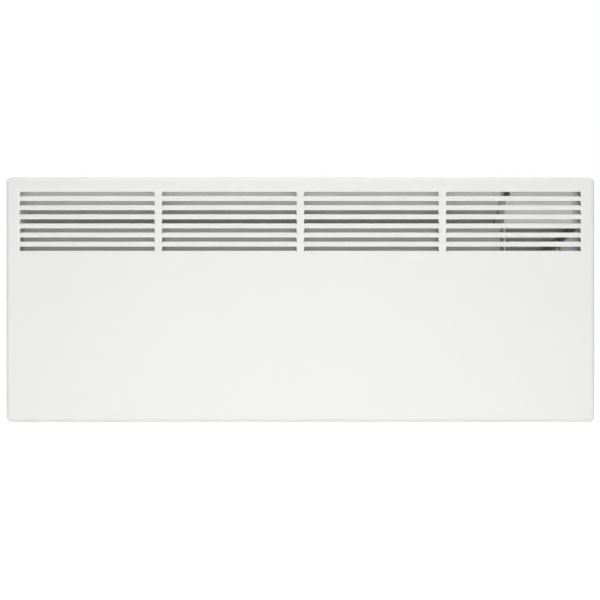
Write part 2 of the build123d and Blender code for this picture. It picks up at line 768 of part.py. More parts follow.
# ceramic bushes, with their flanges inside the chamber
bush_seats = [Location((end_plate_x, element_y, level), TO_RIGHT) for level in rod_levels]
bush_seats += [Location((partition_x, element_y, level), TO_LEFT) for level in rod_levels]
with BuildPart() as ceramic_bushes:
    with Locations(*bush_seats):
        Cylinder(bush_flange_radius, bush_flange_thickness, align=(Align.CENTER, Align.CENTER, Align.MIN))
        Cylinder(bush_neck_radius, chassis_sheet + bush_neck_length,
                 align=(Align.CENTER, Align.CENTER, Align.MAX))
        Cylinder(rod_radius + fit_clearance, 4 * bush_flange_thickness, mode=Mode.SUBTRACT)
ceramic_bushes.part.label = "ceramic_bushes"

# strip that joins the two rods at the left end
with BuildPart() as element_link:
    with BuildSketch(Plane.YZ.offset(bush_left_x - link_thickness)):
        with Locations((element_y, element_level)):
            SlotCenterToCenter(rod_spacing, link_width, rotation=90)
        with Locations(*[(element_y, level) for level in rod_levels]):
            Circle(pin_radius + screw_clearance, mode=Mode.SUBTRACT)
    extrude(amount=link_thickness)
element_link.part.label = "element_link"


def ring_terminals(seats_and_turns, bore_radius):
    """Crimped ring terminals: each ring lies on its seat, its barrel turned about the seat's Z axis."""
    with BuildPart() as terminals:
        for seat, turn in seats_and_turns:
            with Locations(seat * Location((0, 0, 0), (0, 0, turn))):
                Cylinder(ring_radius, ring_thickness, align=(Align.CENTER, Align.CENTER, Align.MIN))
                with Locations((ring_radius - ring_overlap, 0, ring_barrel_radius)):
                    Cylinder(ring_barrel_radius, ring_barrel_length, rotation=TO_RIGHT,
                             align=(Align.CENTER, Align.CENTER, Align.MIN))
                Cylinder(bore_radius + screw_clearance, 3 * ring_thickness, mode=Mode.SUBTRACT)
    return terminals


def hexagon_nuts(seats, flats, thickness, bore_radius):
    """Hexagon nuts standing on their seats."""
    with BuildPart() as nuts:
        for seat in seats:
            with BuildSketch(Plane(seat)):
                RegularPolygon(flats / 2, 6, major_radius=False)
                Circle(bore_radius + screw_clearance, mode=Mode.SUBTRACT)
            extrude(amount=thickness)
    return nuts


def lead(points, bends, radius):
    """Insulated wire: straight runs between the points, joined by arcs of the given bend radii."""
    with BuildPart() as wire:
        with BuildLine() as route:
            FilletPolyline(*points, radius=bends)
        with BuildSketch(Plane(origin=route.line @ 0, z_dir=route.line % 0)):
            Circle(radius)
        sweep()
    return wire


left_ring_seat = Location((bush_left_x - link_thickness, element_y, rod_levels[1]), TO_LEFT)
right_ring_seats = [Location((bush_right_x, element_y, level), TO_RIGHT) for level in rod_levels]

heater_rings = ring_terminals(
    [(left_ring_seat, 90), (right_ring_seats[0], -90), (right_ring_seats[1], 90)], pin_radius
)
heater_rings.part.label = "heater_rings"

pin_nut_seats = [
    Location((bush_left_x - link_thickness, element_y, rod_levels[0]), TO_LEFT),
    Location((bush_left_x - link_thickness - ring_thickness, element_y, rod_levels[1]), TO_LEFT),
]
pin_nut_seats += [
    Location((bush_right_x + ring_thickness, element_y, level), TO_RIGHT) for level in rod_levels
]
pin_nuts = hexagon_nuts(pin_nut_seats, nut_flats, nut_thickness, pin_radius)
pin_nuts.part.label = "pin_nuts"

# rubber grommets where the common lead passes the end plate and the partition
grommet_seats = [
    Location((web_x + chassis_sheet / 2, lead_pass_y, lead_pass_level), TO_RIGHT)
    for web_x in (end_plate_x - chassis_sheet, partition_x)
]
with BuildPart() as lead_grommets:
    with Locations(*grommet_seats):
        Cylinder(grommet_radius, grommet_thickness)
        Cylinder(grommet_radius, chassis_sheet, mode=Mode.SUBTRACT)
        Cylinder(grommet_radius - grommet_groove - screw_clearance, chassis_sheet)
        Cylinder(grommet_bore_radius, grommet_thickness, mode=Mode.SUBTRACT)
lead_grommets.part.label = "lead_grommets"

# overheat cut-out on the partition, its cap in the hot chamber and its tabs in the control bay
with BuildPart() as overheat_cutout:
    with Locations(Location((partition_x + chassis_sheet, element_y, cutout_level), TO_RIGHT)):
        Cylinder(cutout_radius, chassis_sheet + cutout_cap_depth,
                 align=(Align.CENTER, Align.CENTER, Align.MAX))
        Cylinder(cutout_radius + cutout_rim, cutout_body_depth,
                 align=(Align.CENTER, Align.CENTER, Align.MIN))
        Box(cutout_ear_width, cutout_ear_spacing + cutout_ear_width, cutout_ear_thickness,
            align=(Align.CENTER, Align.CENTER, Align.MIN))
        with Locations((0, tab_spacing / 2, cutout_body_depth), (0, -tab_spacing / 2, cutout_body_depth)):
            Box(tab_width, tab_thickness, tab_length, align=(Align.CENTER, Align.CENTER, Align.MIN))
    with Locations(*cutout_screw_seats()):
        Cylinder(screw_shank_radius + screw_clearance, 2 * cutout_screw_length, mode=Mode.SUBTRACT)
overheat_cutout.part.label = "overheat_cutout"

cutout_screws = pan_screws(cutout_screw_seats(), cutout_screw_length)
cutout_screws.part.label = "cutout_screws"

# ---------------------------------------------------------------- controls
control_shield_y = sill_rear_y + control_shield_gap
control_shield_left = partition_x + chassis_sheet
control_shield_right = half_width - control_shield_margin
with BuildPart() as control_shield:
    add(bent_sheet(
        [
            (control_shield_left, control_shield_y + control_shield_flange),
            (control_shield_left, control_shield_y),
            (control_shield_right - control_shield_wing, control_shield_y),
            (control_shield_right, control_shield_y + control_shield_lean),
        ],
        Side.LEFT, shield_top, chassis_half,
    ).part)
    with Locations((control_shield_left, control_shield_y, chassis_half)):
        Box(2 * control_shield_relief, 3 * control_shield_flange, 2 * control_shield_relief_height,
            mode=Mode.SUBTRACT)
control_shield.part.label = "control_shield"

# moulded tray that recesses the controls into the right side
with BuildPart() as control_tray:
    with BuildSketch(Plane.XZ.offset(-(tray_y + tray_opening_depth / 2 + tray_wall))):
        with BuildLine():
            Polyline(
                (side_inside_x, tray_top_level + tray_wall),
                (tray_back_x, tray_floor_top + tray_wall),
                (tray_back_x, tray_floor_bottom - tray_wall),
                (side_inside_x, tray_bottom_level - tray_wall),
                close=True,
            )
        make_face()
    extrude(amount=tray_opening_depth + 2 * tray_wall)
    fillet(control_tray.edges().filter_by(Axis.Y).group_by(Axis.X)[0], tray_edge_radius)
    tray_rims = control_tray.faces().filter_by(Axis.Y).edges()
    fillet(tray_rims.filter_by_position(Axis.X, tray_back_x, side_inside_x - tray_wall), tray_edge_radius)
    offset(amount=-tray_wall, openings=control_tray.faces().sort_by(Axis.X)[-1])
    with BuildSketch(Plane.YZ.offset(side_inside_x)):
        with Locations((tray_y, tray_middle_level)):
            RectangleRounded(tray_opening_depth + 2 * tray_flange, tray_opening_height + 2 * tray_flange,
                             tray_edge_radius)
            RectangleRounded(tray_opening_depth, tray_opening_height, tray_edge_radius, mode=Mode.SUBTRACT)
    extrude(amount=-tray_wall)
    # holes for the thermostat's bush, the pilot lamp and the two switches
    with BuildSketch(Plane.YZ.offset(tray_back_x)):
        with Locations((tray_y, knob_level)):
            Circle(thermostat_bush_radius + fit_clearance)
        with Locations((tray_y, lamp_level)):
            Circle(lamp_body_radius + fit_clearance)
        with Locations(*[(y, rocker_level) for y in rocker_places]):
            Rectangle(switch_width + 2 * fit_clearance, switch_length + 2 * fit_clearance)
    extrude(amount=tray_wall, mode=Mode.SUBTRACT)
    with Locations(*tray_screw_seats()):
        Cylinder(screw_shank_radius + screw_clearance, 6 * tray_wall, mode=Mode.SUBTRACT)
control_tray.part.label = "control_tray"

knob_plane = Plane(Location((knob_base_x, tray_y, knob_level), TO_RIGHT))
spindle_plane = Plane(Location((knob_base_x - spindle_tail, tray_y, knob_level), TO_RIGHT))

# thermostat: housing with a threaded bush through the tray, tabs for the wires and a bore for the spindle
with BuildPart() as thermostat_body:
    with BuildSketch(Plane.YZ.offset(tray_back_x)):
        with Locations((tray_y, knob_level)):
            RectangleRounded(thermostat_width, thermostat_height, tray_wall)
    extrude(amount=-thermostat_depth)
    with Locations(Location((tray_back_x, tray_y, knob_level), TO_RIGHT)):
        Cylinder(thermostat_bush_radius, tray_wall + thermostat_bush_length,
                 align=(Align.CENTER, Align.CENTER, Align.MIN))
    with Locations(spindle_plane.location):
        with Locations((0, 0, -running_clearance)):
            Cylinder(spindle_radius + running_clearance, 2 * spindle_tail,
                     align=(Align.CENTER, Align.CENTER, Align.MIN), mode=Mode.SUBTRACT)
    for side in (-1, 1):
        with Locations((tray_back_x - thermostat_depth, tray_y + side * thermostat_tab_y,
                        knob_level + side * thermostat_tab_z)):
            Box(tab_length, tab_thickness, tab_width, align=(Align.MAX, Align.CENTER, Align.CENTER))
thermostat_body.part.label = "thermostat_body"

thermostat_nut = hexagon_nuts(
    [Location((tray_floor_x, tray_y, knob_level), TO_RIGHT)],
    thermostat_nut_flats, thermostat_nut_thickness, thermostat_bush_radius,
)
thermostat_nut.part.label = "thermostat_nut"


def flattened_disc(radius):
    """Disc with one flat, the section of the spindle and of the knob's bore."""
    Circle(radius)
    with Locations((radius - spindle_flat, 0)):
        Rectangle(2 * radius, 2 * radius, align=(Align.MIN, Align.CENTER), mode=Mode.SUBTRACT)


with BuildPart() as thermostat_spindle:
    with BuildSketch(spindle_plane):
        Circle(spindle_radius)
    extrude(amount=spindle_tail)
    with BuildSketch(knob_plane):
        flattened_disc(spindle_radius)
    extrude(amount=spindle_grip)
thermostat_spindle.part.label = "thermostat_spindle"

# control knob: dial skirt, fluted grip with a raised pointer, hollow over the nut
with BuildPart() as thermostat_knob:
    with BuildSketch(knob_plane):
        Circle(knob_skirt_radius)
    extrude(amount=knob_skirt_thickness)
    with Locations(knob_plane.offset(knob_skirt_thickness).location):
        Cone(knob_radius, knob_top_radius, knob_height, align=(Align.CENTER, Align.CENTER, Align.MIN))
        with PolarLocations(knob_radius + knob_flute_radius - knob_flute_depth, knob_flute_count):
            Cylinder(knob_flute_radius, knob_height, align=(Align.CENTER, Align.CENTER, Align.MIN),
                     mode=Mode.SUBTRACT)
    with BuildSketch(knob_plane):
        Circle(knob_recess_radius)
    extrude(amount=knob_recess_depth, mode=Mode.SUBTRACT)
    with BuildSketch(knob_plane):
        flattened_disc(spindle_radius + running_clearance)
    extrude(amount=spindle_grip + knob_floor_gap, mode=Mode.SUBTRACT)
    with BuildSketch(knob_plane.offset(knob_skirt_thickness + knob_height)):
        with Locations((-knob_radius / 2, 0)):
            SlotOverall(knob_pointer_length, knob_pointer_width)
    extrude(amount=knob_pointer_height)
    chamfer(thermostat_knob.edges().group_by(Axis.X)[0].sort_by(SortBy.LENGTH)[-1], knob_floor_gap / 2)
thermostat_knob.part.label = "thermostat_knob"


def switch_housing(y):
    """Rocker switch housing: bezel on the tray, body behind it, well for the rocker and two tabs."""
    with BuildPart() as housing:
        with BuildSketch(Plane.YZ.offset(tray_floor_x)):
            with Locations((y, rocker_level)):
                RectangleRounded(switch_width + 2 * switch_bezel, switch_length + 2 * switch_bezel,
                                 switch_bezel)
        extrude(amount=switch_bezel_thickness)
        with BuildSketch(Plane.YZ.offset(tray_floor_x)):
            with Locations((y, rocker_level)):
                Rectangle(switch_width, switch_length)
        extrude(amount=-switch_body_depth)
        with BuildSketch(Plane.YZ.offset(tray_floor_x + switch_bezel_thickness)):
            with Locations((y, rocker_level)):
                Rectangle(rocker_width + 2 * rocker_clearance, rocker_length + 2 * rocker_clearance)
        extrude(amount=-(switch_bezel_thickness + rocker_well), mode=Mode.SUBTRACT)
        # holes for the rocker's pivots
        with Locations(Location((rocker_pivot_x, y, rocker_level), TO_FRONT)):
            Cylinder(rocker_pin_radius + running_clearance,
                     rocker_width + 2 * rocker_clearance + 2 * rocker_pin_length, mode=Mode.SUBTRACT)
        for side in (-1, 1):
            with Locations((tray_floor_x - switch_body_depth, y, rocker_level + side * switch_tab_rise)):
                Box(tab_length, tab_width, tab_thickness, align=(Align.MAX, Align.CENTER, Align.CENTER))
    return housing


switch_housing_low = switch_housing(rocker_places[0])
switch_housing_low.part.label = "switch_housing_low"
switch_housing_high = switch_housing(rocker_places[1])
switch_housing_high.part.label = "switch_housing_high"


def rocker(y):
    """Rocker cap drawn in its off position: round back about the pivot and a shallow valley in front."""
    with BuildPart() as cap:
        tilted = Vector(1, 0, 0).rotate(Axis.Y, rocker_tilt)
        with BuildSketch(Plane(origin=(rocker_pivot_x, y, rocker_level), x_dir=tilted, z_dir=(0, -1, 0))):
            Circle(rocker_length / 2)
            with BuildLine():
                Polyline(
                    (-rocker_depth, -rocker_length),
                    (rocker_valley + rocker_length * tan(radians(rocker_tilt)), -rocker_length),
                    (rocker_valley, 0),
                    (rocker_valley + rocker_length * tan(radians(rocker_tilt)), rocker_length),
                    (-rocker_depth, rocker_length),
                    close=True,
                )
            make_face(mode=Mode.INTERSECT)
        extrude(amount=rocker_width / 2, both=True)
        with Locations(Location((rocker_pivot_x, y, rocker_level), TO_FRONT)):
            Cylinder(rocker_pin_radius, rocker_width + 2 * rocker_pin_length)
    return cap


rocker_low = rocker(rocker_places[0])
rocker_low.part.label = "rocker_low"
rocker_high = rocker(rocker_places[1])
rocker_high.part.label = "rocker_high"

# strip across the supply tabs of both switches
with BuildPart() as switch_link:
    with Locations((tray_floor_x - switch_body_depth - tab_length / 2, tray_y,
                    rocker_level + switch_tab_rise + tab_thickness / 2)):
        Box(tab_length / 2, rocker_spacing + tab_width, tab_thickness,
            align=(Align.CENTER, Align.CENTER, Align.MIN))
switch_link.part.label = "switch_link"

with BuildPart() as pilot_lamp:
    with Locations(Location((tray_floor_x, tray_y, lamp_level), TO_RIGHT)):
        Cylinder(lamp_body_radius, lamp_body_depth, align=(Align.CENTER, Align.CENTER, Align.MAX))
pilot_lamp.part.label = "pilot_lamp"

with BuildPart() as lamp_lens:
    with Locations(Location((tray_floor_x, tray_y, lamp_level), TO_RIGHT)):
        Cylinder(lamp_radius, lamp_bezel_thickness + lamp_dome, align=(Align.CENTER, Align.CENTER, Align.MIN))
    fillet(lamp_lens.edges().filter_by(GeomType.CIRCLE).sort_by(Axis.X)[-1], lamp_dome)
lamp_lens.part.label = "lamp_lens"

with BuildPart() as tray_screws:
    with Locations(*tray_screw_seats()):
        Cone(tray_screw_head_radius - screw_clearance, screw_shank_radius, tray_screw_sink,
             rotation=DOWN, align=(Align.CENTER, Align.CENTER, Align.MIN))
        Cylinder(screw_shank_radius, screw_length, align=(Align.CENTER, Align.CENTER, Align.MAX))
tray_screws.part.label = "tray_screws"

# ---------------------------------------------------------------- supply, earth and wiring
way_columns = (block_x - terminal_way, block_x, block_x + terminal_way)  # neutral, live and earth
block_top = terminal_block_level + terminal_block_height / 2
block_front_y = rim_y - terminal_block_depth
terminal_screw_places = [
    (x, terminal_block_level + side * terminal_screw_rise) for x in way_columns for side in (-1, 1)
]
with BuildPart() as terminal_block:
    with BuildSketch(Plane.XZ.offset(-rim_y)):
        with Locations(*[(x, terminal_block_level) for x in way_columns]):
            Rectangle(terminal_way, terminal_block_height)
        with Locations(*block_screw_places()):
            Circle(screw_shank_radius + screw_clearance, mode=Mode.SUBTRACT)
    extrude(amount=terminal_block_depth)
    # clamping bores from end to end and screw wells from the front
    with Locations(*[(x, lead_pass_y, terminal_block_level) for x in way_columns]):
        Cylinder(terminal_bore_radius, terminal_block_height, mode=Mode.SUBTRACT)
    with BuildSketch(Plane.XZ.offset(-block_front_y)):
        with Locations(*terminal_screw_places):
            Circle(terminal_screw_radius + fit_clearance)
    extrude(amount=-(terminal_block_depth - reflector_gap / 2), mode=Mode.SUBTRACT)
    # notches between the ways
    with BuildSketch(Plane.XZ.offset(-block_front_y)):
        with Locations(*block_screw_places()):
            Rectangle(terminal_notch, terminal_block_height)
    extrude(amount=-terminal_notch, mode=Mode.SUBTRACT)
terminal_block.part.label = "terminal_block"

with BuildPart() as terminal_screws:
    with BuildSketch(Plane.XZ.offset(-(block_front_y + terminal_screw_sink))):
        with Locations(*terminal_screw_places):
            Circle(terminal_screw_radius)
    extrude(amount=-terminal_screw_length)
terminal_screws.part.label = "terminal_screws"

block_screws = pan_screws(wall_facing(block_screw_places(), back_y), screw_length)
block_screws.part.label = "block_screws"

# cord inlet bush, snapped into the bottom wall
with BuildPart() as cord_inlet_bush:
    with Locations((inlet_x, inlet_y, -half_height)):
        Cylinder(inlet_flange_radius, inlet_flange_thickness, align=(Align.CENTER, Align.CENTER, Align.MAX))
        Cylinder(inlet_neck_radius, inlet_length - inlet_flange_thickness,
                 align=(Align.CENTER, Align.CENTER, Align.MIN))
        with Locations((0, 0, sheet + inlet_collar_gap)):
            Cone(inlet_collar_radius, inlet_neck_radius, inlet_collar_height,
                 align=(Align.CENTER, Align.CENTER, Align.MIN))
    chamfer(cord_inlet_bush.faces().sort_by(Axis.Z)[0].edges(), inlet_flange_thickness / 2)
    with Locations((inlet_x, inlet_y, -half_height)):
        Cylinder(inlet_bore_radius, 3 * inlet_length, mode=Mode.SUBTRACT)
cord_inlet_bush.part.label = "cord_inlet_bush"

# bridge that clamps the supply cord against the back cover
clamp_inner_y = inlet_y - inlet_bore_radius - fit_clearance
with BuildPart() as cord_clamp:
    with BuildSketch(Plane.XY.offset(clamp_level - clamp_width / 2)):
        with Locations((inlet_x, rim_y)):
            Rectangle(clamp_length, rim_y - clamp_inner_y + clamp_thickness, align=(Align.CENTER, Align.MAX))
            Rectangle(clamp_length - 2 * clamp_leg, rim_y - clamp_inner_y,
                      align=(Align.CENTER, Align.MAX), mode=Mode.SUBTRACT)
    extrude(amount=clamp_width)
    fillet(cord_clamp.edges().filter_by(Axis.Z).group_by(Axis.Y)[0], clamp_thickness / 2)
    with Locations(*wall_facing(clamp_screw_places(), rim_y)):
        Cylinder(screw_shank_radius + screw_clearance, 2 * screw_length, mode=Mode.SUBTRACT)
cord_clamp.part.label = "cord_clamp"

clamp_screws = pan_screws(wall_facing(clamp_screw_places(), back_y), screw_length)
clamp_screws.part.label = "clamp_screws"

# earth studs: one on the back cover, one welded inside the front
stud_seat = Location((earth_stud_x, rim_y, earth_stud_level), TO_FRONT)
cover_stud_x = half_width - cover_stud_inset
cover_stud_seat = Location((cover_stud_x, inside_front_y, cover_stud_level), TO_WALL)
with BuildPart() as earth_studs:
    with Locations(stud_seat):
        Cylinder(earth_stud_radius, earth_stud_length, align=(Align.CENTER, Align.CENTER, Align.MIN))
    with Locations(cover_stud_seat):
        Cylinder(earth_stud_radius, cover_stud_length, align=(Align.CENTER, Align.CENTER, Align.MIN))
earth_studs.part.label = "earth_studs"

bond_seat = Location((earth_stud_x, rim_y - ring_thickness, earth_stud_level), TO_FRONT)
earth_rings = ring_terminals([(stud_seat, 180), (bond_seat, 90), (cover_stud_seat, -90)], earth_stud_radius)
earth_rings.part.label = "earth_rings"

earth_nuts = hexagon_nuts(
    [
        Location((earth_stud_x, rim_y - 2 * ring_thickness, earth_stud_level), TO_FRONT),
        Location((cover_stud_x, inside_front_y + ring_thickness, cover_stud_level), TO_WALL),
    ],
    nut_flats, nut_thickness, earth_stud_radius,
)
earth_nuts.part.label = "earth_nuts"

# wires, each named for what it carries; every end is centred on its tab, ring or bore
tab_end_x = tray_floor_x - switch_body_depth - tab_length
supply_tab_level = rocker_level + switch_tab_rise
heat_tab_level = rocker_level - switch_tab_rise
thermostat_tab_end_x = tray_back_x - thermostat_depth - tab_length
cutout_tab_end_x = partition_x + chassis_sheet + cutout_body_depth + tab_length
thermostat_in = (tray_y - thermostat_tab_y, knob_level - thermostat_tab_z)
thermostat_out = (tray_y + thermostat_tab_y, knob_level + thermostat_tab_z)
cutout_in_y = element_y + tab_spacing / 2
cutout_out_y = element_y - tab_spacing / 2
low_lead_y = element_y - ring_exit - low_lead_run
high_lead_y = element_y + ring_exit + high_lead_run
live_lead_y = lead_pass_y - live_lead_shift
left_barrel_x = bush_left_x - link_thickness - ring_barrel_radius
right_barrel_x = bush_right_x + ring_barrel_radius
bore_end = block_top - terminal_bore_depth

common_lead = lead(
    [
        (left_barrel_x, element_y + ring_exit, rod_levels[1]),
        (left_barrel_x, lead_pass_y, rod_levels[1]),
        (way_columns[0], lead_pass_y, rod_levels[1]),
        (way_columns[0], lead_pass_y, bore_end),
    ],
    [wire_bend, wire_bend], wire_radius,
)
common_lead.part.label = "common_lead"

low_heat_lead = lead(
    [
        (right_barrel_x, element_y - ring_exit, rod_levels[0]),
        (right_barrel_x, low_lead_y, rod_levels[0]),
        (tab_end_x - low_lead_turn, low_lead_y, rod_levels[0]),
        (tab_end_x - low_lead_turn, rocker_places[0], heat_tab_level),
        (tab_end_x, rocker_places[0], heat_tab_level),
    ],
    [wire_bend, wire_wide_bend, wire_bend], wire_radius,
)
low_heat_lead.part.label = "low_heat_lead"

high_heat_lead = lead(
    [
        (right_barrel_x, element_y + ring_exit, rod_levels[1]),
        (right_barrel_x, high_lead_y, rod_levels[1]),
        (tab_end_x - high_lead_turn, high_lead_y, rod_levels[1]),
        (tab_end_x - high_lead_turn, rocker_places[1], heat_tab_level),
        (tab_end_x, rocker_places[1], heat_tab_level),
    ],
    [wire_bend, wire_wide_bend, wire_bend], wire_radius,
)
high_heat_lead.part.label = "high_heat_lead"

live_lead = lead(
    [
        (way_columns[1], lead_pass_y, bore_end),
        (way_columns[1], lead_pass_y, block_top + live_lead_rise),
        (cutout_tab_end_x + cutout_tab_turn, live_lead_y, block_top + live_lead_slant),
        (cutout_tab_end_x + cutout_tab_turn, live_lead_y, cutout_level),
        (cutout_tab_end_x + cutout_tab_turn, cutout_in_y, cutout_level),
        (cutout_tab_end_x, cutout_in_y, cutout_level),
    ],
    [live_lead_bend, live_lead_bend, wire_bend, wire_tab_bend], wire_radius,
)
live_lead.part.label = "live_lead"

cutout_lead = lead(
    [
        (cutout_tab_end_x, cutout_out_y, cutout_level),
        (cutout_tab_end_x + cutout_lead_turn, cutout_out_y, cutout_level),
        (cutout_tab_end_x + cutout_lead_turn, thermostat_in[0], thermostat_in[1]),
        (thermostat_tab_end_x, thermostat_in[0], thermostat_in[1]),
    ],
    [wire_tab_bend, wire_tab_bend], wire_radius,
)
cutout_lead.part.label = "cutout_lead"

switch_supply_lead = lead(
    [
        (thermostat_tab_end_x, thermostat_out[0], thermostat_out[1]),
        (thermostat_tab_end_x - thermostat_tab_turn, thermostat_out[0], thermostat_out[1]),
        (thermostat_tab_end_x - thermostat_tab_turn, rocker_places[1], supply_tab_level),
        (tab_end_x, rocker_places[1], supply_tab_level),
    ],
    [wire_tab_bend, wire_tab_bend], wire_radius,
)
switch_supply_lead.part.label = "switch_supply_lead"

supply_earth_lead = lead(
    [
        (earth_stud_x - ring_exit, rim_y - ring_barrel_radius, earth_stud_level),
        (way_columns[2], rim_y - ring_barrel_radius, earth_stud_level),
        (way_columns[2], lead_pass_y, block_top + earth_lead_rise),
        (way_columns[2], lead_pass_y, bore_end),
    ],
    [wire_bend, wire_wide_bend], earth_wire_radius,
)
supply_earth_lead.part.label = "supply_earth_lead"

# the bond rises behind the tray, passes its left side and crosses to the stud inside the front
bond_top = row_sills[-1] + bond_rise
bond_pass_x = tray_back_x - bond_tray_gap
bond_front_y = front_y + bond_front_gap
bond_back_y = rim_y - ring_thickness - ring_barrel_radius
bond_foot_level = cover_stud_level + ring_exit
cover_bond_lead = lead(
    [
        (earth_stud_x, bond_back_y, earth_stud_level + ring_exit),
        (earth_stud_x, bond_back_y, bond_top),
        (bond_pass_x, bond_back_y, bond_top),
        (bond_pass_x, bond_front_y, bond_top),
        (cover_stud_x, bond_front_y, bond_top),
        (cover_stud_x, bond_front_y, bond_foot_level + bond_foot + bond_slant),
        (cover_stud_x, inside_front_y + ring_barrel_radius, bond_foot_level + bond_foot),
        (cover_stud_x, inside_front_y + ring_barrel_radius, bond_foot_level),
    ],
    [bond_back_bend, bond_back_bend, bond_front_bend, bond_front_bend, wire_bend, wire_bend],
    earth_wire_radius,
)
cover_bond_lead.part.label = "cover_bond_lead"

# capillary and sensor bulb of the thermostat, the bulb clipped to the partition above the air inlet
bulb_x = partition_x + chassis_sheet + bulb_offset
bulb_y = tray_y - thermostat_width / 2 + bulb_shift
capillary_level = knob_level - thermostat_height / 2 + capillary_rise
capillary_x = tray_back_x - thermostat_depth - capillary_run
sensor_capillary = lead(
    [
        (tray_back_x - thermostat_depth, bulb_y, capillary_level),
        (capillary_x, bulb_y, capillary_level),
        (capillary_x, bulb_y, bulb_top_level + capillary_drop),
        (bulb_x, bulb_y, bulb_top_level + capillary_drop),
        (bulb_x, bulb_y, bulb_top_level),
    ],
    [capillary_bend, capillary_bend, capillary_bend], capillary_radius,
)
sensor_capillary.part.label = "sensor_capillary"

with BuildPart() as sensor_bulb:
    with Locations((bulb_x, bulb_y, bulb_top_level)):
        Cylinder(bulb_radius, bulb_length, align=(Align.CENTER, Align.CENTER, Align.MAX))
    fillet(sensor_bulb.edges().filter_by(GeomType.CIRCLE), bulb_radius / 2)
sensor_bulb.part.label = "sensor_bulb"

with BuildPart() as bulb_clip:
    with BuildSketch(Plane.XY.offset(bulb_top_level - bulb_length / 2 - bulb_clip_width / 2)):
        with Locations((bulb_x, bulb_y)):
            Circle(bulb_radius + fit_clearance + bulb_clip_wall)
            Rectangle(bulb_offset, 2 * bulb_radius, align=(Align.MAX, Align.CENTER))
            Circle(bulb_radius + fit_clearance, mode=Mode.SUBTRACT)
    extrude(amount=bulb_clip_width)
bulb_clip.part.label = "bulb_clip"

# ---------------------------------------------------------------- one file for each piece
pieces = [
    front_cover, back_cover, cover_screws, chassis_screws, wall_spacers,
    wall_bracket_left, wall_bracket_right, lock_catch_left, lock_catch_right, catch_rivets,
    end_plate_left, partition_plate, front_heat_shield, rear_reflector, air_deflector,
    heating_element_fins, heating_rods, ceramic_bushes, element_link, pin_nuts,
    heater_rings, lead_grommets, overheat_cutout, cutout_screws,
    control_shield, control_tray, tray_screws, thermostat_body, thermostat_nut,
    thermostat_spindle, thermostat_knob, switch_housing_low, switch_housing_high,
    rocker_low, rocker_high, switch_link, pilot_lamp, lamp_lens,
    terminal_block, terminal_screws, block_screws, cord_inlet_bush, cord_clamp, clamp_screws,
    earth_studs, earth_nuts, earth_rings,
    common_lead, low_heat_lead, high_heat_lead, live_lead, cutout_lead, switch_supply_lead,
    supply_earth_lead, cover_bond_lead, sensor_capillary, sensor_bulb, bulb_clip,
]
for piece in pieces:
    export_step(piece.part, f"parts/{piece.part.label}.step")
print(len(pieces), "pieces")
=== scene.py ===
import json
import math

import bpy
import numpy as np
from mathutils import Matrix, Vector


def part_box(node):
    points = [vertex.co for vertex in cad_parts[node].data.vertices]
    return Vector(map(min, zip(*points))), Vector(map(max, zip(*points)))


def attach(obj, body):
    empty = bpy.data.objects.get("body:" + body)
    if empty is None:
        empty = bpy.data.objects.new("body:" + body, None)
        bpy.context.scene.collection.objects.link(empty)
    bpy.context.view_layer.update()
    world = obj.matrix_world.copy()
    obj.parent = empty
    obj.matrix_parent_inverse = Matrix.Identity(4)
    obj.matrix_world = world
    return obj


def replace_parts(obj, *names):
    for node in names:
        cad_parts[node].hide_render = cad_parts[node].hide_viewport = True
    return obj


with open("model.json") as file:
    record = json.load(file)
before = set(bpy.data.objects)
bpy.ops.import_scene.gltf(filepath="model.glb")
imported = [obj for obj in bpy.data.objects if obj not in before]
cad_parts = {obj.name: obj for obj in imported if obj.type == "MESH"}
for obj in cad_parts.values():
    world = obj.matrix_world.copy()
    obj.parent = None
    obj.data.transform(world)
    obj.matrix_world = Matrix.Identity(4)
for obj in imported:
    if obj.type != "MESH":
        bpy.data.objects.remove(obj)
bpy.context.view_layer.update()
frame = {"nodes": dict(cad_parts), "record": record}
nodes = frame["nodes"]

# ---------------------------------------------------------------- sizes, in metres
front_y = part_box("front_cover")[0].y

shank_radius = 0.0015
head_rings = 15  # grid rings on the top of a screw's head
head_sides = 48
pan_radius = 0.0034
pan_height = 0.0019
pan_recess_radius = 0.0021
pan_recess_depth = 0.0012
pan_turn, pan_turn_step = 0.3, 1.1  # radians that the first cross is turned by, and each next one on from it
screw_reach = 0.008  # a little more than the width of a pan head; what it needs is told at solid_middles
sunk_radius = 0.00275
sunk_height = 0.0009
sunk_recess_radius = 0.0018
sunk_recess_depth = 0.0008
sunk_turn, sunk_turn_step = 0.5, 0.9
back_cover_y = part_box("chassis_screws")[1].y - pan_height

print_lift = 0.00006  # a printed mark above the surface that it is printed on
bar_sides = 32
dial_start = -135  # degrees from the top to the first numeral
dial_step = 54  # degrees between two numerals
dial_steps = 5
numeral_radius = 0.0217  # from the knob's axis to the middle of a numeral
numeral_size = 0.0027
tick_radius = 0.0215
tick_length = 0.0014
tick_width = 0.0004
pointer_radius = 0.0075  # from the knob's axis to the middle of its pointer
pointer_length = 0.0102
pointer_width = 0.0014

rocker_tilt = math.radians(9)
pivot_sink = 0.0007  # rocker's pivot below the tray's floor
valley_reach = 0.0020  # middle of a rocker's face in front of its pivot
sign_rise = 0.0046  # signs above and below the middle of a rocker
sign_size = 0.0036

camera_distance = 1.00  # camera to the front face
camera_x, camera_z = -0.0005, -0.0003  # the photo's middle is that far off the middle of the front
frame_width = 0.8122  # width that the picture shows at the front face
floor_z = -0.42
floor_reach = 4.0


# ---------------------------------------------------------------- node groups shared by the materials
def shader_node(tree, kind, **values):
    """Add a shader node; a value goes to the node's property of that name, or else to its input."""
    node = tree.nodes.new(kind)
    for name, value in values.items():
        if hasattr(node, name):
            setattr(node, name, value)
        else:
            node.inputs[name.replace("_", " ")].default_value = value
    return node


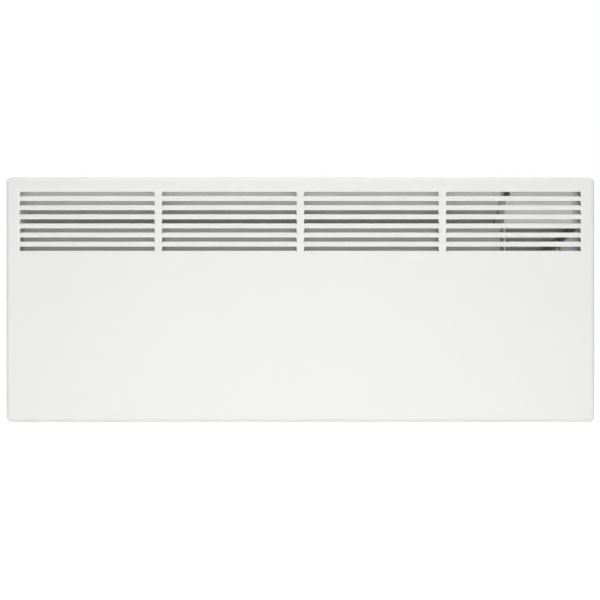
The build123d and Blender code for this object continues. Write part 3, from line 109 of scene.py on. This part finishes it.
def start_group(name, inputs, outputs):
    """Open a node group with (kind, name, value) inputs and (kind, name) outputs: its tree and both ends."""
    tree = bpy.data.node_groups.new(name, "ShaderNodeTree")
    for kind, label, value in inputs:
        socket = tree.interface.new_socket(label, in_out="INPUT", socket_type="NodeSocket" + kind)
        if value is not None:
            socket.default_value = value
    for kind, label in outputs:
        tree.interface.new_socket(label, in_out="OUTPUT", socket_type="NodeSocket" + kind)
    return tree, tree.nodes.new("NodeGroupInput").outputs, tree.nodes.new("NodeGroupOutput").inputs


def tone_drift_group():
    """Cloudy change of tone: two noises, a broad one and a fine one, darken the colour by at most Amount."""
    tree, given, result = start_group(
        "tone_drift",
        [("Vector", "Place", None), ("Color", "Color", (0.8, 0.8, 0.8, 1)), ("Float", "Scale", 6.0),
         ("Float", "Amount", 0.04)],
        [("Color", "Color")],
    )
    finer_by = 9.0
    fine_share = 0.4
    broad = shader_node(tree, "ShaderNodeTexNoise", Detail=2.0)
    fine = shader_node(tree, "ShaderNodeTexNoise", Detail=4.0)
    finer = shader_node(tree, "ShaderNodeMath", operation="MULTIPLY")
    finer.inputs[1].default_value = finer_by
    both = shader_node(tree, "ShaderNodeMath", operation="MULTIPLY_ADD")
    both.inputs[1].default_value = 1 - fine_share
    share = shader_node(tree, "ShaderNodeMath", operation="MULTIPLY")
    share.inputs[1].default_value = fine_share
    darkening = shader_node(tree, "ShaderNodeMath", operation="MULTIPLY")
    kept = shader_node(tree, "ShaderNodeMath", operation="SUBTRACT")
    kept.inputs[0].default_value = 1.0
    scaled = shader_node(tree, "ShaderNodeVectorMath", operation="SCALE")
    link = tree.links.new
    link(given["Place"], broad.inputs["Vector"])
    link(given["Place"], fine.inputs["Vector"])
    link(given["Scale"], broad.inputs["Scale"])
    link(given["Scale"], finer.inputs[0])
    link(finer.outputs[0], fine.inputs["Scale"])
    link(broad.outputs["Fac"], both.inputs[0])
    link(fine.outputs["Fac"], share.inputs[0])
    link(share.outputs[0], both.inputs[2])
    link(both.outputs[0], darkening.inputs[0])
    link(given["Amount"], darkening.inputs[1])
    link(darkening.outputs[0], kept.inputs[1])
    link(given["Color"], scaled.inputs[0])
    link(kept.outputs[0], scaled.inputs["Scale"])
    link(scaled.outputs[0], result["Color"])
    return tree


def moulded_skin_group():
    """Fine pitted skin of moulded plastic or powder coat: noise over Voronoi pits gives Height."""
    tree, given, result = start_group(
        "moulded_skin",
        [("Vector", "Place", None), ("Float", "Scale", 900.0), ("Float", "Pits", 0.5)],
        [("Float", "Height")],
    )
    noise = shader_node(tree, "ShaderNodeTexNoise", Detail=3.0)
    pits = shader_node(tree, "ShaderNodeTexVoronoi", feature="SMOOTH_F1")
    weighted = shader_node(tree, "ShaderNodeMath", operation="MULTIPLY")
    height = shader_node(tree, "ShaderNodeMath", operation="ADD")
    link = tree.links.new
    for texture in (noise, pits):
        link(given["Place"], texture.inputs["Vector"])
        link(given["Scale"], texture.inputs["Scale"])
    link(pits.outputs["Distance"], weighted.inputs[0])
    link(given["Pits"], weighted.inputs[1])
    link(noise.outputs["Fac"], height.inputs[0])
    link(weighted.outputs[0], height.inputs[1])
    link(height.outputs[0], result["Height"])
    return tree


def drawn_grain_group():
    """Grain of metal: noise with its own scale along each axis (Stretch), out as Roughness and Height."""
    tree, given, result = start_group(
        "drawn_grain",
        [("Vector", "Place", None), ("Vector", "Stretch", (8.0, 900.0, 900.0)), ("Float", "Roughness", 0.35),
         ("Float", "Spread", 0.12)],
        [("Float", "Roughness"), ("Float", "Height")],
    )
    middle_grey = 0.5
    squeezed = shader_node(tree, "ShaderNodeVectorMath", operation="MULTIPLY")
    streaks = shader_node(tree, "ShaderNodeTexNoise", Scale=1.0, Detail=3.0)
    centred = shader_node(tree, "ShaderNodeMath", operation="SUBTRACT")
    centred.inputs[1].default_value = middle_grey
    roughness = shader_node(tree, "ShaderNodeMath", operation="MULTIPLY_ADD", use_clamp=True)
    link = tree.links.new
    link(given["Place"], squeezed.inputs[0])
    link(given["Stretch"], squeezed.inputs[1])
    link(squeezed.outputs[0], streaks.inputs["Vector"])
    link(streaks.outputs["Fac"], centred.inputs[0])
    link(centred.outputs[0], roughness.inputs[0])
    link(given["Spread"], roughness.inputs[1])
    link(given["Roughness"], roughness.inputs[2])
    link(roughness.outputs[0], result["Roughness"])
    link(streaks.outputs["Fac"], result["Height"])
    return tree


def zinc_spangle_group():
    """Crystals of galvanised sheet: Voronoi cells shade the colour up and down and change the roughness."""
    tree, given, result = start_group(
        "zinc_spangle",
        [("Vector", "Place", None), ("Color", "Color", (0.6, 0.6, 0.6, 1)), ("Float", "Scale", 70.0),
         ("Float", "Contrast", 0.2), ("Float", "Roughness", 0.4)],
        [("Color", "Color"), ("Float", "Roughness")],
    )
    middle_grey = 0.5
    roughness_spread = 0.15
    cells = shader_node(tree, "ShaderNodeTexVoronoi", feature="F1")
    grey = shader_node(tree, "ShaderNodeRGBToBW")
    centred = shader_node(tree, "ShaderNodeMath", operation="SUBTRACT")
    centred.inputs[1].default_value = middle_grey
    shade = shader_node(tree, "ShaderNodeMath", operation="MULTIPLY_ADD")
    shade.inputs[2].default_value = 1.0
    scaled = shader_node(tree, "ShaderNodeVectorMath", operation="SCALE")
    rougher = shader_node(tree, "ShaderNodeMath", operation="MULTIPLY_ADD", use_clamp=True)
    rougher.inputs[1].default_value = roughness_spread
    link = tree.links.new
    link(given["Place"], cells.inputs["Vector"])
    link(given["Scale"], cells.inputs["Scale"])
    link(cells.outputs["Color"], grey.inputs[0])
    link(grey.outputs[0], centred.inputs[0])
    link(centred.outputs[0], shade.inputs[0])
    link(given["Contrast"], shade.inputs[1])
    link(given["Color"], scaled.inputs[0])
    link(shade.outputs[0], scaled.inputs["Scale"])
    link(scaled.outputs[0], result["Color"])
    link(centred.outputs[0], rougher.inputs[0])
    link(given["Roughness"], rougher.inputs[2])
    link(rougher.outputs[0], result["Roughness"])
    return tree


tone_drift = tone_drift_group()
moulded_skin = moulded_skin_group()
drawn_grain = drawn_grain_group()
zinc_spangle = zinc_spangle_group()


# ---------------------------------------------------------------- materials
finishes = {}  # the finish of each material slot in the record, and of the printed marks


def open_material(name, roughness, metallic=0.0, coat=0.0):
    """New material: its tree, its Principled shader and the object coordinates that its patterns read."""
    finishes[name] = bpy.data.materials.new(name + "_finish")
    finishes[name].use_nodes = True
    tree = finishes[name].node_tree
    shader = tree.nodes["Principled BSDF"]
    shader.inputs["Roughness"].default_value = roughness
    shader.inputs["Metallic"].default_value = metallic
    shader.inputs["Coat Weight"].default_value = coat
    place = tree.nodes.new("ShaderNodeTexCoord").outputs["Object"]
    return tree, shader, place


def use_group(tree, group, place, **values):
    """Place a shared group in a material, read at the given place, with this material's own values."""
    node = tree.nodes.new("ShaderNodeGroup")
    node.node_tree = group
    tree.links.new(place, node.inputs["Place"])
    for name, value in values.items():
        node.inputs[name].default_value = value
    return node


def raise_bump(tree, shader, height, strength, distance):
    """Feed a height through a Bump node into the shader's normal."""
    bump = shader_node(tree, "ShaderNodeBump", Strength=strength, Distance=distance)
    tree.links.new(height, bump.inputs["Height"])
    tree.links.new(bump.outputs[0], shader.inputs["Normal"])


def coated_steel(name, color, roughness, drift, skin_scale, skin_depth):
    """Powder-coated sheet: nearly even colour and a soft orange-peel skin."""
    tree, shader, place = open_material(name, roughness)
    tone = use_group(tree, tone_drift, place, Color=(*color, 1), Scale=5.0, Amount=drift)
    skin = use_group(tree, moulded_skin, place, Scale=skin_scale, Pits=0.4)
    tree.links.new(tone.outputs["Color"], shader.inputs["Base Color"])
    raise_bump(tree, shader, skin.outputs["Height"], strength=0.25, distance=skin_depth)


def galvanised(name, color, metallic, roughness, contrast):
    """Galvanised sheet: spangle in colour and roughness, with faint rolling grain."""
    tree, shader, place = open_material(name, roughness, metallic=metallic)
    spangle = use_group(tree, zinc_spangle, place, Color=(*color, 1), Scale=85.0, Contrast=contrast,
                        Roughness=roughness)
    grain = use_group(tree, drawn_grain, place, Stretch=(30.0, 1200.0, 1200.0))
    tree.links.new(spangle.outputs["Color"], shader.inputs["Base Color"])
    tree.links.new(spangle.outputs["Roughness"], shader.inputs["Roughness"])
    raise_bump(tree, shader, grain.outputs["Height"], strength=0.12, distance=0.0001)


def drawn_metal(name, color, roughness, stretch, drift=0.08):
    """Bare metal with a grain that has its own scale along each axis, and a slightly uneven colour."""
    tree, shader, place = open_material(name, roughness, metallic=1.0)
    tone = use_group(tree, tone_drift, place, Color=(*color, 1), Scale=40.0, Amount=drift)
    grain = use_group(tree, drawn_grain, place, Stretch=stretch, Roughness=roughness, Spread=0.25)
    tree.links.new(tone.outputs["Color"], shader.inputs["Base Color"])
    tree.links.new(grain.outputs["Roughness"], shader.inputs["Roughness"])
    raise_bump(tree, shader, grain.outputs["Height"], strength=0.2, distance=0.00005)


def moulded_plastic(name, color, roughness, skin_scale=1400.0, skin_depth=0.00008, drift=0.04, coat=0.0):
    """Moulded plastic, rubber or ceramic: an even colour with the skin of its mould."""
    tree, shader, place = open_material(name, roughness, coat=coat)
    tone = use_group(tree, tone_drift, place, Color=(*color, 1), Scale=30.0, Amount=drift)
    skin = use_group(tree, moulded_skin, place, Scale=skin_scale, Pits=0.6)
    tree.links.new(tone.outputs["Color"], shader.inputs["Base Color"])
    raise_bump(tree, shader, skin.outputs["Height"], strength=0.3, distance=skin_depth)


def striped_insulation(name, base, stripe):
    """Two-colour wire: the way that its surface faces tells the stripe from the base."""
    stripe_side = (0.80, 0.0, 0.60)
    stripe_edge = 0.1
    tree, shader, place = open_material(name, 0.45)
    facing = tree.nodes.new("ShaderNodeNewGeometry").outputs["Normal"]
    side = shader_node(tree, "ShaderNodeVectorMath", operation="DOT_PRODUCT")
    side.inputs[1].default_value = stripe_side
    chosen = shader_node(tree, "ShaderNodeMath", operation="GREATER_THAN")
    chosen.inputs[1].default_value = stripe_edge
    mixed = shader_node(tree, "ShaderNodeMix", data_type="RGBA")
    mixed.inputs["A"].default_value = (*base, 1)
    mixed.inputs["B"].default_value = (*stripe, 1)
    skin = use_group(tree, moulded_skin, place, Scale=1500.0, Pits=0.3)
    link = tree.links.new
    link(facing, side.inputs[0])
    link(side.outputs["Value"], chosen.inputs[0])
    link(chosen.outputs[0], mixed.inputs["Factor"])
    link(mixed.outputs["Result"], shader.inputs["Base Color"])
    raise_bump(tree, shader, skin.outputs["Height"], strength=0.2, distance=0.00005)


def woven_sleeve(name, color):
    """Braided glass sleeve: crossing waves along both diagonals give the strands and the dark gaps."""
    gap_shade = 0.65  # the gaps' share of the strands' brightness
    tree, shader, place = open_material(name, 0.75)
    waves = []
    for direction in ((1.0, 1.0, 1.0), (1.0, -1.0, -1.0)):
        turned = shader_node(tree, "ShaderNodeVectorMath", operation="MULTIPLY")
        turned.inputs[1].default_value = direction
        wave = shader_node(
            tree, "ShaderNodeTexWave", wave_type="BANDS", bands_direction="DIAGONAL", Scale=260.0
        )
        tree.links.new(place, turned.inputs[0])
        tree.links.new(turned.outputs[0], wave.inputs["Vector"])
        waves.append(wave.outputs["Fac"])
    strands = shader_node(tree, "ShaderNodeMath", operation="MAXIMUM")
    shade = shader_node(tree, "ShaderNodeMath", operation="MULTIPLY_ADD")
    shade.inputs[1].default_value = 1 - gap_shade
    shade.inputs[2].default_value = gap_shade
    scaled = shader_node(tree, "ShaderNodeVectorMath", operation="SCALE")
    scaled.inputs[0].default_value = color
    link = tree.links.new
    link(waves[0], strands.inputs[0])
    link(waves[1], strands.inputs[1])
    link(strands.outputs[0], shade.inputs[0])
    link(shade.outputs[0], scaled.inputs["Scale"])
    link(scaled.outputs[0], shader.inputs["Base Color"])
    raise_bump(tree, shader, strands.outputs[0], strength=0.4, distance=0.00015)


coated_steel("white_enamel", (0.830, 0.830, 0.822), 0.55, drift=0.012, skin_scale=1100.0, skin_depth=0.00006)
galvanised("zinc_sheet", (0.95, 0.95, 0.94), metallic=0.0, roughness=0.55, contrast=0.04)
galvanised("shield_sheet", (0.70, 0.70, 0.69), metallic=0.05, roughness=0.55, contrast=0.05)
galvanised("aluminised_sheet", (0.40, 0.40, 0.395), metallic=0.10, roughness=0.55, contrast=0.06)
drawn_metal("screw_steel", (0.70, 0.70, 0.71), 0.30, (1500.0, 1500.0, 1500.0))
moulded_plastic("catch_plastic", (0.045, 0.045, 0.048), 0.50)
moulded_plastic("spacer_rubber", (0.018, 0.018, 0.018), 0.72, skin_scale=700.0, skin_depth=0.0001, drift=0.2)
drawn_metal("fin_aluminium", (0.62, 0.63, 0.64), 0.38, (6.0, 1400.0, 1400.0))
drawn_metal("rod_steel", (0.33, 0.31, 0.29), 0.45, (20.0, 900.0, 900.0), drift=0.25)
moulded_plastic("bush_ceramic", (0.78, 0.75, 0.67), 0.60, skin_scale=600.0, skin_depth=0.0001, drift=0.08)
drawn_metal("terminal_brass", (0.80, 0.62, 0.28), 0.28, (600.0, 600.0, 600.0))
moulded_plastic("cutout_shell", (0.030, 0.026, 0.024), 0.50)
moulded_plastic("tray_plastic", (0.66, 0.66, 0.65), 0.48, skin_scale=1100.0, skin_depth=0.00012)
moulded_plastic("knob_plastic", (0.76, 0.76, 0.75), 0.42, skin_scale=1500.0, skin_depth=0.00006)
drawn_metal("spindle_steel", (0.60, 0.60, 0.60), 0.30, (20.0, 900.0, 900.0))
moulded_plastic("switch_plastic", (0.020, 0.020, 0.022), 0.34, skin_scale=1800.0, skin_depth=0.00003)
moulded_plastic("rocker_plastic", (0.76, 0.76, 0.74), 0.28, skin_scale=1800.0, skin_depth=0.00002)
moulded_plastic("lamp_body_plastic", (0.022, 0.022, 0.022), 0.40)
moulded_plastic(
    "lens_red", (0.52, 0.020, 0.010), 0.12, skin_scale=500.0, skin_depth=0.00002, drift=0.06, coat=0.6
)
moulded_plastic("block_plastic", (0.80, 0.78, 0.70), 0.45)
moulded_plastic("bush_plastic", (0.022, 0.022, 0.022), 0.48)
woven_sleeve("sleeve_glass", (0.80, 0.77, 0.68))
moulded_plastic("wire_brown", (0.120, 0.045, 0.020), 0.40)
striped_insulation("wire_earth", (0.060, 0.210, 0.060), (0.480, 0.440, 0.080))
drawn_metal("sensor_copper", (0.78, 0.42, 0.26), 0.35, (600.0, 600.0, 600.0), drift=0.15)
moulded_plastic("print_ink", (0.085, 0.085, 0.090), 0.55, skin_scale=900.0, skin_depth=0.00002)

for part in frame["record"]["subparts"]:
    skin = nodes[part["node"]].data
    skin.materials.clear()
    skin.materials.append(finishes[part["material_slot"]])


# ---------------------------------------------------------------- surfaces
def grid_faces(rows, columns, close_rows, close_columns):
    """Corner numbers of the quads of a rows x columns grid, closed round in either direction."""
    first = np.arange(rows if close_rows else rows - 1)
    second = np.arange(columns if close_columns else columns - 1)
    u, v = np.meshgrid(first, second, indexing="ij")
    u_next = (u + 1) % rows
    v_next = (v + 1) % columns
    corners = [(u, v), (u_next, v), (u_next, v_next), (u, v_next)]
    return np.stack([row * columns + column for row, column in corners], -1).reshape(-1, 4)


def piece_from(name, patches, slot, body, smooth=True, finish=None):
    """One mesh piece from (points, quads) patches, riding on a body, in its slot's finish or another."""
    point_lists, quad_lists = zip(*patches)
    starts = np.cumsum([0] + [len(points) for points in point_lists[:-1]])
    points = np.concatenate(point_lists)
    quads = np.concatenate([quads + start for quads, start in zip(quad_lists, starts)])
    mesh = bpy.data.meshes.new(name)
    mesh.from_pydata(points.tolist(), [], quads.tolist())
    mesh.validate()
    mesh.polygons.foreach_set("use_smooth", np.full(len(mesh.polygons), smooth))
    mesh.materials.append(finishes[finish or slot])
    piece = bpy.data.objects.new(name, mesh)
    bpy.context.scene.collection.objects.link(piece)
    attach(piece, body)
    return piece


def solid_middles(node, reach):
    """Middles (X, Z) of the separate solids of a node, each the points within reach of the first one left.
    Solids closer than reach, as the block screws are, come out right only while that first point lies away
    from the neighbour, which holds in the frame that this was made for."""
    flat = np.empty(len(nodes[node].data.vertices) * 3)
    nodes[node].data.vertices.foreach_get("co", flat)
    rest = flat.reshape(-1, 3)[:, [0, 2]]
    middles = []
    while len(rest):
        near = np.hypot(*(rest - rest[0]).T) < reach
        middles.append((rest[near].min(0) + rest[near].max(0)) / 2)
        rest = rest[~near]
    return middles


def on_seat(origin, out):
    """Place of a screw on its seat: its own Z points out of the head."""
    return Matrix.Translation(origin) @ Vector(out).to_track_quat("Z", "Y").to_matrix().to_4x4()


def placed(points, place):
    """Points of a grid, moved and turned by a matrix, as one list of rows."""
    turn = np.array(place.to_3x3())
    return points.reshape(-1, 3) @ turn.T + np.array(place.translation)


def pan_profile(head_radius, head_height, shank_radius, shank_length):
    """Radius and rise of a pan head, over its dome and round its edge to the seat, then down the shank."""
    dome_share = 0.86  # the dome's share of the head's radius
    dome_fall = 0.30  # the dome's fall to its edge, as a share of the head's height
    edge_radius = np.array([0.94, 0.985, 1.0, 1.0])
    edge_rise = np.array([0.62, 0.45, 0.25, 0.0])
    dome = np.linspace(0.0, 1.0, head_rings)
    radius = np.concatenate(
        [dome_share * head_radius * dome, head_radius * edge_radius, [shank_radius, shank_radius, 0.0]]
    )
    shank_rise = [0.0, -shank_length, -shank_length]
    rise = np.concatenate([head_height * (1 - dome_fall * dome ** 2), head_height * edge_rise, shank_rise])
    return radius, rise


def sunk_profile(head_radius, head_height, shank_radius, shank_length):
    """Radius and rise of a countersunk head: flat on top, a cone below it, then the shank."""
    face_share = 0.96  # the flat top's share of the head's radius
    edge_fall = 0.06  # the fall of the edge below the top, as a share of the head's height
    face = np.linspace(0.0, 1.0, head_rings)
    radius = np.concatenate([face_share * head_radius * face, [head_radius, shank_radius, shank_radius, 0.0]])
    rise = np.concatenate(
        [0.0 * face, [-edge_fall * head_height, -head_height, -shank_length, -shank_length]]
    )
    return radius, rise


def cross_head(place, profile, recess_radius, recess_depth, turn):
    """Screw on a polar grid: the profile is carried round the axis, and near the middle its top is lowered
    by the cross recess, a plus sign in the turned directions that gets shallower away from the axis."""
    radius, rise = profile
    angle = np.linspace(0.0, 2 * np.pi, head_sides, endpoint=False)
    r, a = np.meshgrid(radius, angle, indexing="ij")
    nearer_arm = np.minimum(np.abs(r * np.cos(a - turn)), np.abs(r * np.sin(a - turn)))
    wall = 0.08 * recess_radius
    bar_half_width = 0.26 * recess_radius
    in_bar = np.clip((bar_half_width - nearer_arm) / wall + 0.5, 0, 1)
    in_reach = np.clip((recess_radius - r) / wall + 0.5, 0, 1)
    on_top = np.arange(len(radius))[:, None] < head_rings
    height = rise[:, None] - on_top * in_bar * in_reach * recess_depth * (1 - 0.5 * r / recess_radius)
    points = np.stack([r * np.cos(a), r * np.sin(a), height], -1)
    return placed(points, place), grid_faces(len(radius), len(angle), False, True)


for node in ("cover_screws", "chassis_screws", "block_screws", "clamp_screws"):
    profile = pan_profile(pan_radius, pan_height, shank_radius, back_cover_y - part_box(node)[0].y)
    patches = [
        cross_head(
            on_seat((x, back_cover_y, z), (0, 1, 0)), profile, pan_recess_radius, pan_recess_depth,
            pan_turn + pan_turn_step * number,
        )
        for number, (x, z) in enumerate(solid_middles(node, screw_reach))
    ]
    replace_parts(piece_from(node + "_detailed", patches, "screw_steel", "heater"), node)

low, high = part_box("tray_screws")
profile = sunk_profile(sunk_radius, sunk_height, shank_radius, high.x - low.x)
patches = [
    cross_head(
        on_seat((high.x, (low.y + high.y) / 2, z), (1, 0, 0)), profile, sunk_recess_radius, sunk_recess_depth,
        sunk_turn + sunk_turn_step * number,
    )
    for number, z in enumerate((low.z + sunk_radius, high.z - sunk_radius))
]
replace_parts(piece_from("tray_screws_detailed", patches, "screw_steel", "heater"), "tray_screws")


# ---------------------------------------------------------------- printed marks on the controls
def printed(name, words, places, size, body):
    """Flat letters, made a mesh and set at each place: one matrix for each word."""
    vertices = []
    faces = []
    for word, place in zip(words, places):
        curve = bpy.data.curves.new(name, "FONT")
        curve.body = word
        curve.size = size
        curve.align_x = "CENTER"
        curve.align_y = "CENTER"
        curve.extrude = print_lift / 2
        text = bpy.data.objects.new(name, curve)
        bpy.context.scene.collection.objects.link(text)
        bpy.context.view_layer.update()
        flat = bpy.data.meshes.new_from_object(text)
        bpy.data.objects.remove(text)
        bpy.data.curves.remove(curve)
        flat.transform(place)
        faces += [tuple(len(vertices) + number for number in face.vertices) for face in flat.polygons]
        vertices += [tuple(vertex.co) for vertex in flat.vertices]
        bpy.data.meshes.remove(flat)
    mesh = bpy.data.meshes.new(name)
    mesh.from_pydata(vertices, [], faces)
    mesh.materials.append(finishes["print_ink"])
    piece = bpy.data.objects.new(name, mesh)
    bpy.context.scene.collection.objects.link(piece)
    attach(piece, body)


def mark_place(point, up=(0, 0, 1), out=(1, 0, 0)):
    """Place of a mark just above a surface: its own Y runs up, its Z out of the surface."""
    up, out = Vector(up).normalized(), Vector(out).normalized()
    turned = Matrix((up.cross(out), up, out)).transposed().to_4x4()
    return Matrix.Translation(Vector(point) + out * print_lift) @ turned


def painted_bar(place, length, width):
    """Flat bar with round ends: its outline is a half circle round each end of its middle line, and the
    profile goes from that line out to the outline and back over the top."""
    angle = np.linspace(0.0, 2 * np.pi, bar_sides, endpoint=False) + np.pi / bar_sides
    reach, a = np.meshgrid([0.0, 1.0, 1.0, 0.0], angle, indexing="ij")
    rise = np.array([0.0, 0.0, print_lift, print_lift])[:, None] + 0 * a
    line_end = np.sign(np.sin(a)) * (length - width) / 2
    points = np.stack([reach * np.cos(a) * width / 2, line_end + reach * np.sin(a) * width / 2, rise], -1)
    return placed(points, place), grid_faces(4, len(angle), False, True)[:, ::-1]


tray_floor_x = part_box("lamp_lens")[0].x
knob_low, knob_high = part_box("thermostat_knob")
knob_y = (knob_low.y + knob_high.y) / 2
knob_z = (knob_low.z + knob_high.z) / 2


def dial_angle(steps):
    """Angle of the dial, in radians from the top, at a number of steps on from the first numeral."""
    return math.radians(dial_start + dial_step * steps)


def dial_point(radius, angle):
    """Point of the tray's floor at a radius and angle round the knob's axis, the angle from the top."""
    return (tray_floor_x, knob_y + radius * math.sin(angle), knob_z + radius * math.cos(angle))


printed(
    "dial_numerals", [str(number + 1) for number in range(dial_steps + 1)],
    [mark_place(dial_point(numeral_radius, dial_angle(number))) for number in range(dial_steps + 1)],
    numeral_size, "heater",
)
ticks = [
    painted_bar(
        mark_place(dial_point(tick_radius, angle), up=(0, math.sin(angle), math.cos(angle))),
        tick_length, tick_width,
    )
    for angle in [dial_angle(number + 0.5) for number in range(dial_steps)]
]
piece_from("dial_ticks", ticks, "tray_plastic", "heater", smooth=False, finish="print_ink")

pointer = painted_bar(
    mark_place((knob_high.x, knob_y, knob_z + pointer_radius)), pointer_length, pointer_width
)
piece_from("knob_pointer_paint", [pointer], "knob_plastic", "control_knob", smooth=False, finish="print_ink")

# the lower half of each rocker's face is upright at rest, and the upper half leans out by twice the tilt
slope = math.tan(2 * rocker_tilt)
lower_x = tray_floor_x - pivot_sink + valley_reach * math.cos(rocker_tilt)
upper_x = lower_x + (sign_rise + valley_reach * math.sin(rocker_tilt)) * slope
for node, body in (("rocker_low", "low_heat_rocker"), ("rocker_high", "high_heat_rocker")):
    low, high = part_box(node)
    middle_y = (low.y + high.y) / 2
    middle_z = (low.z + high.z) / 2
    upper = (upper_x, middle_y, middle_z + sign_rise)
    lower = (lower_x, middle_y, middle_z - sign_rise)
    printed(
        node + "_marks", ["I", "O"],
        [mark_place(upper, up=(slope, 0, 1), out=(1, 0, -slope)), mark_place(lower)],
        sign_size, body,
    )


# ---------------------------------------------------------------- floor, light and camera
def white_where_seen(tree, seen_strength, other_strength):
    """Strength that has one value as seen by the camera, in a reflection or through a clear piece, and
    another as a source of light."""
    path = tree.nodes.new("ShaderNodeLightPath")
    either = shader_node(tree, "ShaderNodeMath", operation="MAXIMUM")
    any_of = shader_node(tree, "ShaderNodeMath", operation="MAXIMUM")
    tree.links.new(path.outputs["Is Camera Ray"], either.inputs[0])
    tree.links.new(path.outputs["Is Glossy Ray"], either.inputs[1])
    tree.links.new(either.outputs[0], any_of.inputs[0])
    tree.links.new(path.outputs["Is Transmission Ray"], any_of.inputs[1])
    strength = shader_node(tree, "ShaderNodeMapRange")
    strength.inputs["To Min"].default_value = other_strength
    strength.inputs["To Max"].default_value = seen_strength
    tree.links.new(any_of.outputs[0], strength.inputs["Value"])
    return strength.outputs["Result"]


world = bpy.data.worlds.new("studio")
bpy.context.scene.world = world
world.use_nodes = True
background = world.node_tree.nodes["Background"]
background.inputs["Color"].default_value = (1, 1, 1, 1)
world_strength = white_where_seen(world.node_tree, seen_strength=1.0, other_strength=0.33)
world.node_tree.links.new(world_strength, background.inputs["Strength"])

floor_mesh = bpy.data.meshes.new("floor")
floor_mesh.from_pydata(
    [(-floor_reach, -floor_reach, floor_z), (floor_reach, -floor_reach, floor_z),
     (floor_reach, floor_reach, floor_z), (-floor_reach, floor_reach, floor_z)],
    [], [(0, 1, 2, 3)],
)
floor = bpy.data.objects.new("floor", floor_mesh)
bpy.context.scene.collection.objects.link(floor)
pale_floor = bpy.data.materials.new("pale_floor")
pale_floor.use_nodes = True
floor_shader = pale_floor.node_tree.nodes["Principled BSDF"]
floor_shader.inputs["Base Color"].default_value = (0.86, 0.86, 0.86, 1)
floor_shader.inputs["Roughness"].default_value = 0.9
floor_shader.inputs["Emission Color"].default_value = (1, 1, 1, 1)
floor_strength = white_where_seen(pale_floor.node_tree, seen_strength=0.64, other_strength=0.0)
pale_floor.node_tree.links.new(floor_strength, floor_shader.inputs["Emission Strength"])
floor_mesh.materials.append(pale_floor)


def soft_lamp(name, place, target, size, power, spread=math.pi):
    """Area lamp of a size (width, height) at a place, turned towards a target."""
    data = bpy.data.lights.new(name, "AREA")
    data.shape = "RECTANGLE"
    data.size, data.size_y = size
    data.energy = power
    data.spread = spread
    lamp = bpy.data.objects.new(name, data)
    lamp.location = place
    lamp.rotation_euler = (Vector(target) - Vector(place)).to_track_quat("-Z", "Y").to_euler()
    bpy.context.scene.collection.objects.link(lamp)


soft_lamp("lamp_front", (0.0, -3.4, 0.0), (0, 0, 0), size=(3.2, 0.8), power=29.0)
soft_lamp("lamp_above", (0.0, -0.15, 2.0), (0, -0.15, 0), size=(2.0, 2.0), power=12.0)
soft_lamp(
    "lamp_floor", (0.0, -1.3, 1.3), (0, -1.0, floor_z), size=(1.4, 1.4), power=8.0, spread=math.radians(75)
)
soft_lamp("lamp_behind", (0.6, 2.2, 1.4), (0, 0, 0), size=(1.8, 1.8), power=10.0)

camera_data = bpy.data.cameras.new("camera")
camera_data.sensor_width = 36.0
camera_data.lens = camera_data.sensor_width * camera_distance / frame_width
camera = bpy.data.objects.new("camera", camera_data)
camera.location = (camera_x, front_y - camera_distance, camera_z)
camera.rotation_euler = (math.pi / 2, 0, 0)
bpy.context.scene.collection.objects.link(camera)
bpy.context.scene.camera = camera
bpy.context.scene.view_settings.view_transform = "Standard"
